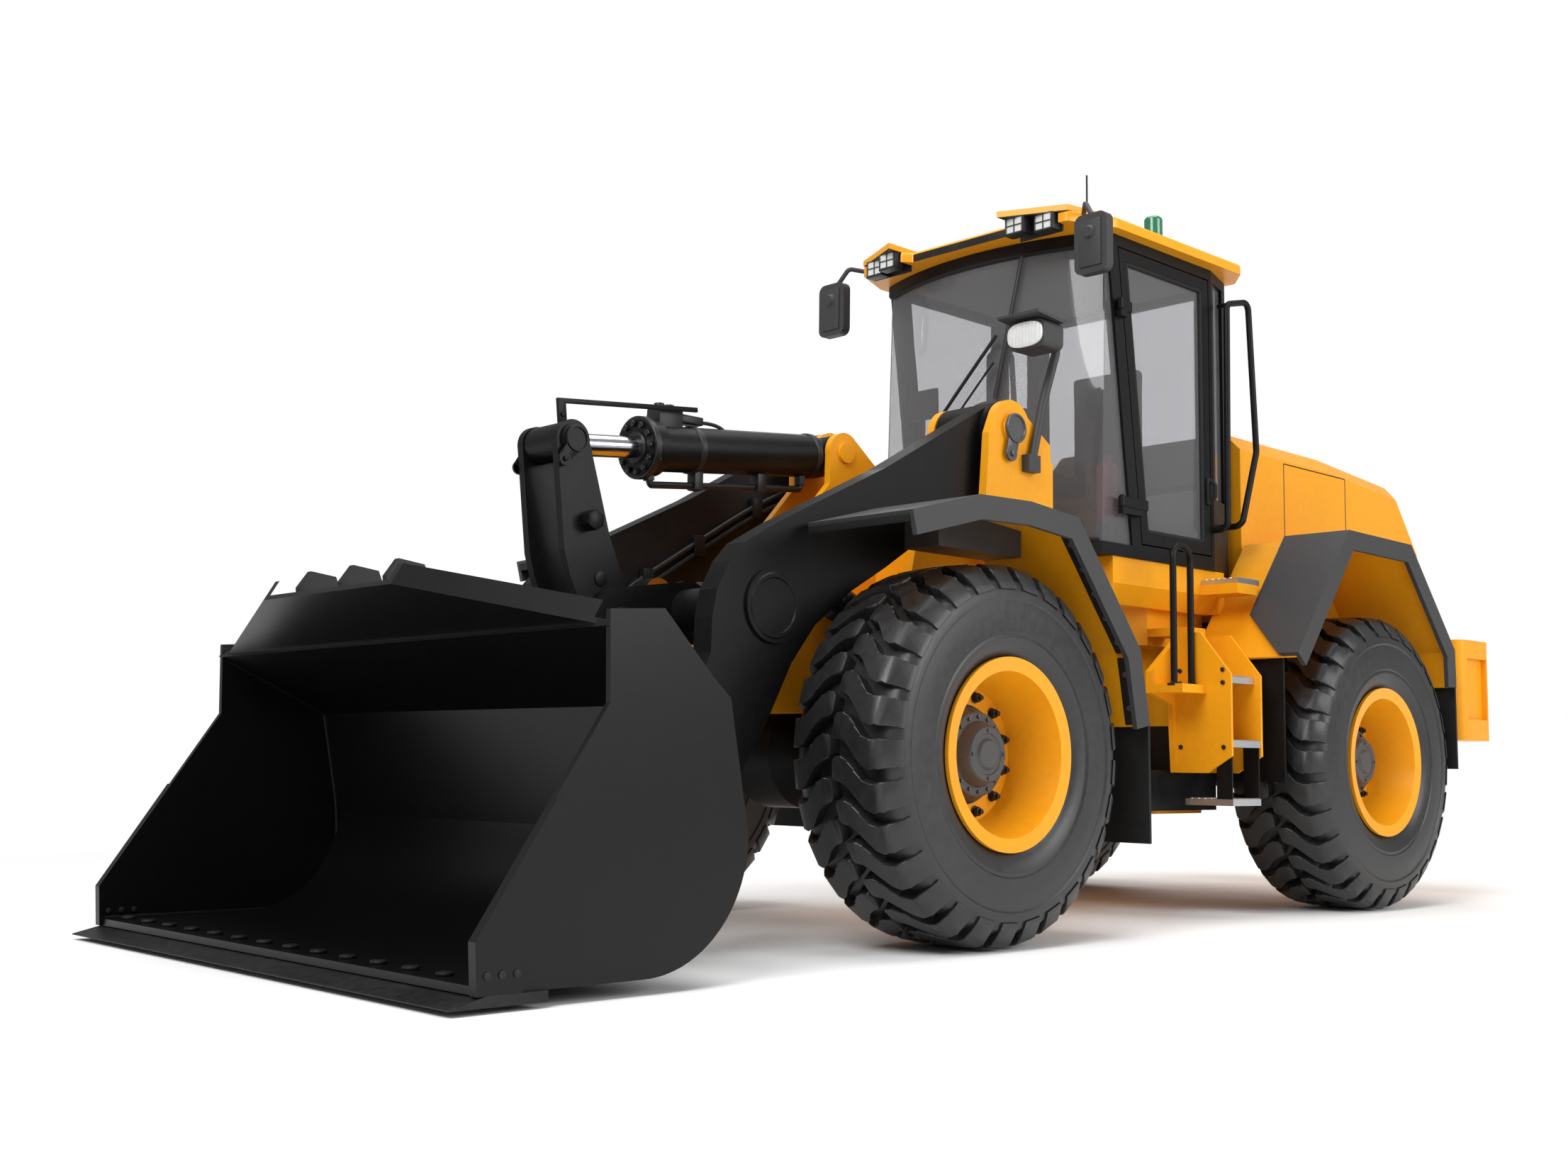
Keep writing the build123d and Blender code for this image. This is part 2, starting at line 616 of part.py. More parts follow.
with BuildPart() as mirrors:
    tube_run(((pivot_x + 275, 670, cab_high + 40), (pivot_x + 385, 760, cab_high + 60),
              (pivot_x + 415, 830, cab_high - 40)), 12, 30)
    block((pivot_x + 395, pivot_x + 445), (740, 920), (2945, 3225))
    fillet(mirrors.edges().filter_by(Axis.X).filter_by(lambda e: e.center().Y > 735), 40)
    mirror(about=Plane.XZ)
    add(cab_roof.part, mode=Mode.SUBTRACT)
save(mirrors, "mirrors")

# Antenna on a small foot, behind the near lamps
with BuildPart() as antenna:
    upright(pivot_x + 95, 560, 26, cab_high + roof_t, cab_high + roof_t + 16)
    upright(pivot_x + 95, 560, 5, cab_high + roof_t + 16, cab_high + roof_t + 260)
save(antenna, "antenna")

with BuildPart() as seat:
    block((rear_axle_x + 640, pivot_x - 435), (-240, 240), (2100, 2220))
    block((rear_axle_x + 600, rear_axle_x + 720), (-230, 230), (2220, 2850))
    block((rear_axle_x + 700, pivot_x - 495), (-180, 180), (cab_low + 40, 2100))
save(seat, "seat")

wheel_plane = Plane(origin=(pivot_x + 15, 0, 2400), x_dir=(0, 1, 0), z_dir=(cos(radians(30)), 0, sin(radians(30))))
with BuildPart() as console:
    block((pivot_x - 5, pivot_x + 75), (-90, 90), (cab_low + 40, 2350))
    with BuildSketch(wheel_plane) as rim_section_face:
        with Locations((190, 0)):
            RegularPolygon(17, 8)
    revolve(rim_section_face.sketch, axis=Axis(wheel_plane.origin, wheel_plane.y_dir))
    with Locations(Location((pivot_x + 15, 0, 2400), (0, -30, 0))):
        Box(40, 380, 24)
        Box(60, 60, 120)
save(console, "console")

# Ladders with a landing, treads, rails, and the boxes and skirts behind them, on both sides
ladder_x = (rear_axle_x + 990, pivot_x - 280)
cheek_t = 15
ladder_back = (760, 790)
# Each tread: its Y span and the height of its top
steps = ((830, 1085, 560), (ladder_back[1], 1088, 830), (ladder_back[1], 1060, 1130))
tread_t = 30
cheek = ((ladder_back[1], 1340), (930, 1340), (1090, 1140), (1090, 760), (960, 680), (ladder_back[1], 680))
back_plate = from_rear((980, 1340), (1195, 1340), (1450, 1150), (1450, 1050), (1270, 1000), (1250, 680), (975, 680))
with BuildPart() as ladders:
    plate(back_plate, *ladder_back)
    block((rear_axle_x + 980, pivot_x - 380), (base_half, ladder_back[1]), (1340, 1380))
    block((ladder_x[1], pivot_x - 65), (ladder_back[1], 960), (1050, 1090))
    for x in (ladder_x[0] - cheek_t, ladder_x[1]):
        with BuildSketch(Plane.YZ.offset(x)) as cheek_face:
            with BuildLine():
                Polyline(*cheek, close=True)
            make_face()
        extrude(cheek_face.sketch, amount=cheek_t)
    block((rear_axle_x + 680, rear_axle_x + 860), (deck_half, 900), (1560, 1610))
    mirror(about=Plane.XZ)
save(ladders, "ladders")

with BuildPart() as treads:
    for y_low, y_high, top in steps:
        block(ladder_x, (y_low, y_high), (top - tread_t, top))
    block((rear_axle_x + 650, rear_axle_x + 850), (deck_half, 895), (1610, 1635))
    mirror(about=Plane.XZ)
save(treads, "treads")

strap_t = 10
grab_x = (rear_nose, pivot_x - 90)
grab_y = 900
rail_r = 16
rail_out = 775
with BuildPart() as handrails:
    tube_run(((grab_x[0], grab_y, 1090), (grab_x[0], grab_y, 1740), (grab_x[1], grab_y, 1740), (grab_x[1], grab_y, 1090)),
             rail_r, 60)
    for x in (ladder_x[0], ladder_x[1] - strap_t):
        block((x, x + strap_t), (1000, 1080), (steps[0][2], steps[1][2] - tread_t))
    tube_run(((rear_axle_x + 735, 640, 1900), (rear_axle_x + 735, rail_out, 1900), (rear_axle_x + 715, rail_out, 3060),
              (rear_axle_x + 510, rail_out, 3110), (rear_axle_x + 450, rail_out, 2330), (rear_axle_x + 600, rail_out, 1930),
              (rear_axle_x + 600, 500, 1930)), rail_r, 40)
    bar((rear_axle_x + 620, 560, 3085), (rear_axle_x + 620, rail_out, 3085), 12)
    add(cab_solid(0, cab_low, cab_high), mode=Mode.SUBTRACT)
    mirror(about=Plane.XZ)
save(handrails, "handrails")

skirt_t = 15
with BuildPart() as side_boxes:
    block((rear_axle_x + 830, pivot_x - 285), (rear_half, 740), (690, 900))
    block((rear_axle_x + 830, pivot_x - 115), (rear_half, 745), (500, 690))
    block((rear_axle_x + 830 - skirt_t, rear_axle_x + 830), (rear_half + 300, 1120), (640, 1230))
    block((rear_nose - 260, rear_nose + 20), (rear_half - 1, 470), (steer_z - 70, steer_z + 70), mode=Mode.SUBTRACT)
    mirror(about=Plane.XZ)
save(side_boxes, "side_boxes")

# Loader arms: two bent slabs joined by a cross tube that carries the crank bracket
arm_outline = round_end(arm_pin, arm_eye_r, 75, 170) \
    + from_front((-475, 1860), (109, 1499), (316, 1382), (513, 1236), (640, 1080), (760, 860)) \
    + round_end(bucket_pin, bucket_eye_r, 200, 180) \
    + from_front((1049, 1102), (1045, 1232), (1023, 1338), (962, 1449), (892, 1523), (710, 1623), (113, 1908))
bracket = round_end(crank_pin, 132, -80, 160) + from_front((742, 1420), (742, 1170))
with BuildPart() as loader_arms:
    plate(arm_outline, arm_in, arm_out)
    across(arm_pin, arm_eye_r, tower_out + side_gap, ear_in - side_gap)
    across(bucket_pin, bucket_eye_r, arm_in - 40, arm_out + 40)
    across(cross_tube, 95, 0, arm_out)
    across(cross_tube, 143, arm_out, arm_out + 12)
    across(cross_tube, 128, crank_out + side_gap, bracket_out)
    plate(bracket, crank_out + side_gap, bracket_out)
    across(crank_pin, 132, crank_out + side_gap, bracket_out)
    across(lift_eye, 90, lift_y + 60, arm_in)
    mirror(about=Plane.XZ)
    for side in (1, -1):
        across(arm_pin, arm_pin_r + run_gap, side * 550 - 300, side * 550 + 300, mode=Mode.SUBTRACT)
        across(bucket_pin, bucket_pin_r + run_gap, side * 600 - 200, side * 600 + 200, mode=Mode.SUBTRACT)
    across(crank_pin, crank_pin_r + run_gap, -300, 300, mode=Mode.SUBTRACT)
save(loader_arms, "loader_arms")

with BuildPart() as crank_pin_piece:
    across(crank_pin, crank_pin_r, -bracket_out - 12, bracket_out + 12)
save(crank_pin_piece, "crank_pin")

crank_outline = round_end(crank_top, 78, 0, 180) \
    + from_front((1112, 1561), (1040, 1400), (940, 1250)) + round_end(link_pin, 85, 130, 180) \
    + from_front((1060, 1090)) + round_end(crank_pin, 140, -80, 90) + from_front((1300, 1400), (1330, 1500))
link_half = crank_in - side_gap
with BuildPart() as bell_crank:
    plate(crank_outline, crank_in, crank_out)
    for place, radius in ((crank_top, 78), (link_pin, 85), (crank_pin, 140)):
        across(place, radius, crank_in, crank_out)
    across(crank_top, 60, crank_out, crank_out + 14)
    across(crank_pin, 110, 0, crank_out)
    across(link_pin, link_pin_r, 0, crank_out + 12)
    mirror(about=Plane.XZ)
    across(crank_pin, crank_pin_r + run_gap, -300, 300, mode=Mode.SUBTRACT)
save(bell_crank, "bell_crank")

link_eye_r = 70
with BuildPart() as link:
    for place in (link_pin, bucket_link):
        across(place, link_eye_r, -link_half, link_half)
    bar((link_pin[0], 0, link_pin[1]), (bucket_link[0], 0, bucket_link[1]), 50)
    across(link_pin, link_pin_r + run_gap, -200, 200, mode=Mode.SUBTRACT)
    across(bucket_link, link_pin_r, -200, 200, mode=Mode.SUBTRACT)
save(link, "link")

# Tilt cylinder along the middle
tilt_way = Vector(crank_top[0] - tilt_pin[0], 0, crank_top[1] - tilt_pin[1])
tilt_dir = tilt_way.normalized()
tilt_base = Vector(tilt_pin[0], 0, tilt_pin[1])
tilt_tip = Vector(crank_top[0], 0, crank_top[1])
barrel_r = 95
rod_r = 45
gland = tilt_base + tilt_dir * 1090
with BuildPart() as tilt_barrel:
    across(tilt_pin, 88, -link_half, link_half)
    bar(tilt_base + tilt_dir * 60, gland, barrel_r - 9)
    bar(tilt_base + tilt_dir * 110, gland - tilt_dir * 90, barrel_r)
    bar(gland - tilt_dir * 90, gland, barrel_r + 20)
    bar(tilt_base + tilt_dir * 130, gland + tilt_dir, rod_r + run_gap, mode=Mode.SUBTRACT)
    across(tilt_pin, tilt_pin_r + run_gap, -200, 200, mode=Mode.SUBTRACT)
save(tilt_barrel, "tilt_barrel")

with BuildPart() as tilt_rod:
    across(crank_top, 72, -link_half, link_half)
    bar(tilt_base + tilt_dir * 560, tilt_tip, rod_r)
    across(crank_top, tilt_pin_r, -200, 200, mode=Mode.SUBTRACT)
save(tilt_rod, "tilt_rod")

# Lift cylinders, one each side inside the arms
lift_way = Vector(lift_eye[0] - lift_base[0], 0, lift_eye[1] - lift_base[1])
lift_dir = lift_way.normalized()
lift_foot = Vector(lift_base[0], lift_y, lift_base[1])
lift_tip = Vector(lift_eye[0], lift_y, lift_eye[1])
lift_gland = lift_tip - lift_dir * 190
with BuildPart() as lift_barrels:
    across(lift_base, 82, lift_y - 65, lift_y + 65)
    bar(lift_foot + lift_dir * 60, lift_gland, 62)
    bar(lift_foot + lift_dir * 110, lift_gland + lift_dir, 38 + run_gap, mode=Mode.SUBTRACT)
    across(lift_base, 48 + run_gap, lift_y - 200, lift_y + 200, mode=Mode.SUBTRACT)
    mirror(about=Plane.XZ)
save(lift_barrels, "lift_barrels")

with BuildPart() as lift_rods:
    across(lift_eye, 78, lift_y - 50, lift_y + 50)
    bar(lift_foot + lift_dir * 160, lift_tip, 38)
    across(lift_eye, 42, lift_y - 200, lift_y + 200, mode=Mode.SUBTRACT)
    mirror(about=Plane.XZ)
save(lift_rods, "lift_rods")

# Bucket: a bent shell between two side plates, ears behind it and a spill guard above it
shell_t = 25
side_t = 22
floor_z = 50
# Hinge ears stand in pairs beside each arm end, inner pair and outer pair given as Y spans
ear_pairs = ((arm_in - 85, arm_in - 48), (arm_out + 48, arm_out + 85))
ear_outline = round_end(bucket_pin, 110, 120, 170) + from_front((1560, 160), (1480, 260), (1440, 470),
                                                                        (1500, 840), (1440, 840))
link_ear_y = (crank_in, crank_out)
link_ear = round_end(bucket_link, 90, 60, 180) + from_front((1445, 520), (1440, 470), (1515, 905), (1480, 905))
guard_reach = 310
guard_half = 440
guard_plane = Plane(origin=(front_axle_x + 1990, 0, 1105), x_dir=(0.852, 0, 0.524), z_dir=(-0.524, 0, 0.852))
cutter_t = 14
side_cutter = from_front((2452, floor_z), (2461, 199), (2195, 590), (2080, 520), (2300, 200), (2300, floor_z))
flange_h = 85
flange_t = 16
gusset = from_front((2190, 1262), (2195, 1310), (2150, 1372), (2050, 1360), (1960, 1150), (2000, 1132))
with BuildPart() as bucket:
    with BuildSketch(Plane.XZ.offset(-bucket_half)) as wrap:
        with BuildLine() as walk:
            heel = front_axle_x + 1850
            back = front_axle_x + 1430
            floor = Line((front_axle_x + 2440, floor_z), (heel, floor_z))
            bend = ThreePointArc(floor @ 1, (heel - 420 * cos(radians(45)), floor_z + 420 - 420 * sin(radians(45))),
                                 (back, floor_z + 420))
            Polyline(bend @ 1, (front_axle_x + 1515, 905), (front_axle_x + 2000, 1128))
            offset(walk.line, amount=shell_t, kind=Kind.INTERSECTION, side=Side.RIGHT)
        make_face()
    extrude(wrap.sketch, amount=2 * bucket_half)
    side_outline = from_front((2452, floor_z), (1850, floor_z), (1700, 77), (1553, 173), (1457, 320), (1430, 470),
                              (1515, 905), (1591, 969), (1794, 1172), (2007, 1156), (2000, 875), (2461, 199))
    for low in (-bucket_half, bucket_half - side_t):
        plate(side_outline, low, low + side_t)
    for low in (-bucket_half - cutter_t, bucket_half):
        plate(side_cutter, low, low + cutter_t)
    for low, high in ear_pairs:
        for y_low, y_high in ((low, high), (-high, -low)):
            plate(ear_outline, y_low, y_high)
            across(bucket_pin, 110, y_low, y_high)
    for y_low, y_high in (link_ear_y, (-link_ear_y[1], -link_ear_y[0])):
        plate(link_ear, y_low, y_high)
        across(bucket_link, 90, y_low, y_high)
    with BuildSketch(guard_plane) as guard:
        with BuildLine():
            Polyline((0, -bucket_half + side_t), (0, bucket_half - side_t), (guard_reach, guard_half),
                     (guard_reach, -guard_half), close=True)
        make_face()
    extrude(guard.sketch, amount=20)
    for side in (1, -1):
        edge = (Vector(0, side * (bucket_half - side_t)), Vector(guard_reach, side * guard_half))
        inward = Vector(0, -side * flange_t / 0.5)
        with BuildSketch(guard_plane) as flange:
            with BuildLine():
                Polyline(edge[0] * 0.92 + edge[1] * 0.08, edge[1], edge[1] + inward, edge[0] * 0.92 + edge[1] * 0.08 + inward,
                         close=True)
            make_face()
        extrude(flange.sketch, amount=flange_h)
    for y in (-300, 0, 300):
        plate(gusset, y - 14, y + 14)
    for side in (1, -1):
        across(bucket_pin, bucket_pin_r + run_gap, side * 610 - 300, side * 610 + 300, mode=Mode.SUBTRACT)
        across(bucket_link, link_pin_r, side * 115 - 40, side * 115 + 40, mode=Mode.SUBTRACT)
save(bucket, "bucket")

# Cutting edge: a bevelled plate under the lip, with its ends drawn back
edge_tip = front_axle_x + 2540
edge_z = 18
with BuildPart() as cutting_edge:
    plate([(edge_tip, edge_z + 4), (edge_tip - 120, edge_z + 32), (edge_tip - 330, edge_z + 32),
           (edge_tip - 330, edge_z), (edge_tip, edge_z)], -bucket_half - cutter_t, bucket_half + cutter_t)
save(cutting_edge, "cutting_edge")

with BuildPart() as bucket_pins:
    across(bucket_pin, bucket_pin_r, ear_pairs[0][0] - 10, ear_pairs[1][1] + 10)
    mirror(about=Plane.XZ)
save(bucket_pins, "bucket_pins")

# Steering cylinders, one each side of the pivot, level with the axles
for label, side in (("left", 1), ("right", -1)):
    foot = Vector(steer_foot[0], side * steer_foot[1], steer_z)
    tip = Vector(steer_eye[0], side * steer_eye[1], steer_z)
    way = (tip - foot).normalized()
    mouth = tip - way * 290
    with BuildPart() as steer_barrel:
        upright(foot.X, foot.Y, 55, steer_z - 40, steer_z + 40)
        bar(foot + way * 40, mouth, 45)
        bar(foot + way * 80, mouth + way, 25 + run_gap, mode=Mode.SUBTRACT)
        upright(foot.X, foot.Y, 30 + run_gap, steer_z - 60, steer_z + 60, mode=Mode.SUBTRACT)
    save(steer_barrel, f"steer_barrel_{label}")
    with BuildPart() as steer_rod:
        upright(tip.X, tip.Y, 50, steer_z - 35, steer_z + 35)
        bar(foot + way * 300, tip, 25)
        upright(tip.X, tip.Y, 28, steer_z - 60, steer_z + 60, mode=Mode.SUBTRACT)
    save(steer_rod, f"steer_rod_{label}")
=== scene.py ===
"""Dresses an articulated wheel loader: finishes for its solids, and the fittings that ride on them."""

import json
import logging
import math
from dataclasses import dataclass, field
from enum import Enum
from typing import Iterable, Sequence

import bmesh
import bpy
from mathutils import Matrix, Vector


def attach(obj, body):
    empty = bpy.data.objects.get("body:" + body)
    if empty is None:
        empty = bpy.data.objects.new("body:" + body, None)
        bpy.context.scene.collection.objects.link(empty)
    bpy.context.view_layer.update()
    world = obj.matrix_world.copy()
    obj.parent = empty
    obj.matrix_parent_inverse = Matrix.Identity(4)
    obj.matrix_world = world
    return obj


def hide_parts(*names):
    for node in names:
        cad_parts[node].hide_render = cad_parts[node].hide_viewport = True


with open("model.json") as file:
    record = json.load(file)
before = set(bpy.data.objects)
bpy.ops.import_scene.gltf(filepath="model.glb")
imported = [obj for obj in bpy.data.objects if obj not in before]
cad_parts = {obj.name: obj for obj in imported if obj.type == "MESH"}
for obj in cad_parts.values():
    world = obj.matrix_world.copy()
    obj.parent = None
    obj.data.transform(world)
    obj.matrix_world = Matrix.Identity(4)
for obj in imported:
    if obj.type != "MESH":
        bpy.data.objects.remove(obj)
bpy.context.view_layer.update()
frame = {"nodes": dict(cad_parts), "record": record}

LOG = logging.getLogger("loader")
Pair = tuple[float, float]
Point = tuple[float, float, float]
Triple = tuple[float, float, float]

FRONT_AXLE, REAR_AXLE, AXLE_Z = 1.145, -1.885, 0.745
ORIGIN, AHEAD, LEFT, UP = (0, 0, 0), (1, 0, 0), (0, 1, 0), (0, 0, 1)

SHARP_EDGE = 0.8  # Radians between two faces, past which their edge is rounded.
SMOOTH_UNDER = math.radians(34)  # Faces that meet at less are shaded as one.
HEX = 6  # Sides of a bolt head.
GLASS_IOR = 1.35
COAT_ROUGH = 0.12
SOILED_ROUGHER = 0.3  # How much rougher a finish is under soil.
GRAIN_DEPTH = 0.004  # Metres that a bump of full height stands for.
AIR_LIGHT = 0.38  # How strongly the air lights the machine.


class Grain(Enum):
    """How a finish breaks up light at arm's length."""

    SPRAYED = "sprayed"
    MOULDED = "moulded"
    RUBBED = "rubbed"
    DRAWN = "drawn"
    WOVEN = "woven"


@dataclass(frozen=True)
class Finish:
    """One finish of the machine.

    Args:
        name: What the finish is called here.
        slot: The record's material slot that it belongs to. Not used.
        colour: Base colour, linear RGB.
        soiled: Colour that dust or rubbing shows.
        rough: Roughness of the clean surface.
        metal: Metallic value.
        coat: Clear coat weight.
        grain: Kind of surface grain.
        size: Grain size as repeats in a metre.
        relief: Strength of the grain's bump.
        soil: How much of the surface the soiled colour covers.
        clear: Transmission of glass and lenses.
        shine: Specular level.
    """

    name: str
    slot: str
    colour: Triple
    soiled: Triple
    rough: float = 0.4
    metal: float = 0.0
    coat: float = 0.0
    grain: Grain = Grain.SPRAYED
    size: float = 60.0
    relief: float = 0.05
    soil: float = 0.2
    clear: float = 0.0
    shine: float = 0.5


YELLOW, AMBER = (0.86, 0.355, 0.008), (0.66, 0.24, 0.007)
FINISHES: dict[str, Finish] = {
    f.name: f
    for f in (
        Finish("yellow_paint", "yellow_paint", YELLOW, AMBER, 0.34, coat=0.12, size=90, relief=0.02, soil=0.25,
               shine=0.3),
        Finish("black_paint", "black_paint", (0.0038, 0.0038, 0.0042), (0.016, 0.0155, 0.0145), 0.42, coat=0.03,
               size=70, relief=0.04, soil=0.3, shine=0.18),
        Finish("bucket_black", "black_paint", (0.003, 0.003, 0.0032), (0.008, 0.008, 0.0078), 0.33, size=70,
               relief=0.02, soil=0.12, shine=0.25),
        Finish("fender_plastic", "fender_plastic", (0.034, 0.034, 0.036), (0.075, 0.072, 0.068), 0.50,
               grain=Grain.MOULDED, size=420, relief=0.12, shine=0.4),
        Finish("flap_rubber", "flap_rubber", (0.009, 0.009, 0.009), (0.035, 0.033, 0.031), 0.7,
               grain=Grain.MOULDED, size=160, relief=0.1, shine=0.3),
        Finish("tyre_rubber", "tyre_rubber", (0.010, 0.010, 0.0105), (0.042, 0.041, 0.039), 0.38,
               grain=Grain.RUBBED, size=110, relief=0.10, soil=0.35, shine=0.55),
        # tinted_glass: the grey colour tints what the glass lets through, and the 0.18 that is not clear shows
        # it as a lamp-lit grey haze, a painted reflection on the windscreen.
        Finish("tinted_glass", "tinted_glass", (0.40, 0.40, 0.41), (0.4, 0.4, 0.4), 0.02, relief=0.0, soil=0.0,
               clear=0.82),
        Finish("lamp_glass", "lamp_glass", (0.74, 0.74, 0.73), (0.5, 0.5, 0.48), 0.12, coat=0.6,
               grain=Grain.MOULDED, size=300, relief=0.1, soil=0.1),
        Finish("red_lens", "red_lens", (0.42, 0.012, 0.010), (0.25, 0.01, 0.01), 0.12, coat=0.6,
               grain=Grain.MOULDED, size=260, relief=0.15),
        Finish("green_lens", "green_lens", (0.012, 0.16, 0.075), (0.03, 0.14, 0.08), 0.12, coat=0.6,
               grain=Grain.MOULDED, size=200, relief=0.1),
        Finish("seat_cloth", "seat_cloth", (0.028, 0.028, 0.030), (0.05, 0.05, 0.055), 0.85,
               grain=Grain.WOVEN, size=900, relief=0.3),
        Finish("tread_aluminium", "tread_aluminium", (0.62, 0.62, 0.63), (0.36, 0.35, 0.34), 0.36, metal=1.0,
               grain=Grain.DRAWN, size=240, relief=0.1),
        Finish("chrome_rod", "chrome_rod", (0.58, 0.58, 0.64), (0.44, 0.44, 0.48), 0.14, metal=1.0,
               grain=Grain.DRAWN, size=300, relief=0.02, soil=0.1),
        Finish("pin_steel", "pin_steel", (0.15, 0.145, 0.14), (0.08, 0.075, 0.07), 0.40, metal=0.8,
               grain=Grain.DRAWN, size=200, relief=0.08),
        Finish("edge_steel", "edge_steel", (0.006, 0.006, 0.0065), (0.040, 0.039, 0.037), 0.45,
               grain=Grain.RUBBED, size=80, relief=0.1, soil=0.4, shine=0.3),
        Finish("hub_casting", "pin_steel", (0.075, 0.075, 0.077), (0.13, 0.125, 0.12), 0.38, metal=0.3,
               grain=Grain.RUBBED, size=160, relief=0.08),
        Finish("bolt_black", "black_paint", (0.012, 0.012, 0.013), (0.05, 0.048, 0.045), 0.42, metal=0.3,
               grain=Grain.RUBBED, size=240, relief=0.06),
        Finish("roof_lining", "seat_cloth", (0.74, 0.74, 0.73), (0.60, 0.60, 0.59), 0.9,
               grain=Grain.WOVEN, size=700, relief=0.15),
        Finish("extinguisher_red", "red_lens", (0.82, 0.022, 0.016), (0.62, 0.020, 0.014), 0.25, coat=0.5,
               relief=0.02),
        Finish("mirror_pane", "chrome_rod", (0.80, 0.81, 0.82), (0.7, 0.7, 0.7), 0.03, metal=1.0, relief=0.0,
               soil=0.1),
        Finish("plate_white", "lamp_glass", (0.70, 0.70, 0.68), (0.5, 0.5, 0.47), 0.4, relief=0.03),
    )
}


def placed(name: str, data: bpy.types.ID) -> bpy.types.Object:
    """Make an object from its data and link it to the scene."""
    made = bpy.data.objects.new(name, data)
    bpy.context.scene.collection.objects.link(made)
    return made


class Graph:
    """A node tree with short ways to add, find and join its nodes."""

    def __init__(self, tree: bpy.types.NodeTree) -> None:
        """Hold the tree."""
        self.tree = tree

    def add(self, kind: str, operation: str = "", **values: float | Point) -> bpy.types.Node:
        """Add a node.

        Args:
            kind: The shader node's type.
            operation: What a maths node does.
            values: Values of its inputs, with _ for a space in the name.

        Returns:
            The new node.
        """
        node = self.tree.nodes.new(f"ShaderNode{kind}")
        if operation:
            node.operation = operation
        for name, value in values.items():
            node.inputs[name.replace("_", " ")].default_value = value
        return node

    def find(self, kind: str) -> bpy.types.Node:
        """The tree's first node of a type."""
        return next(n for n in self.tree.nodes if n.type == kind)

    def join(self, *links: tuple[bpy.types.NodeSocket, bpy.types.NodeSocket]) -> None:
        """Join each output socket to its input socket."""
        for source, target in links:
            self.tree.links.new(source, target)


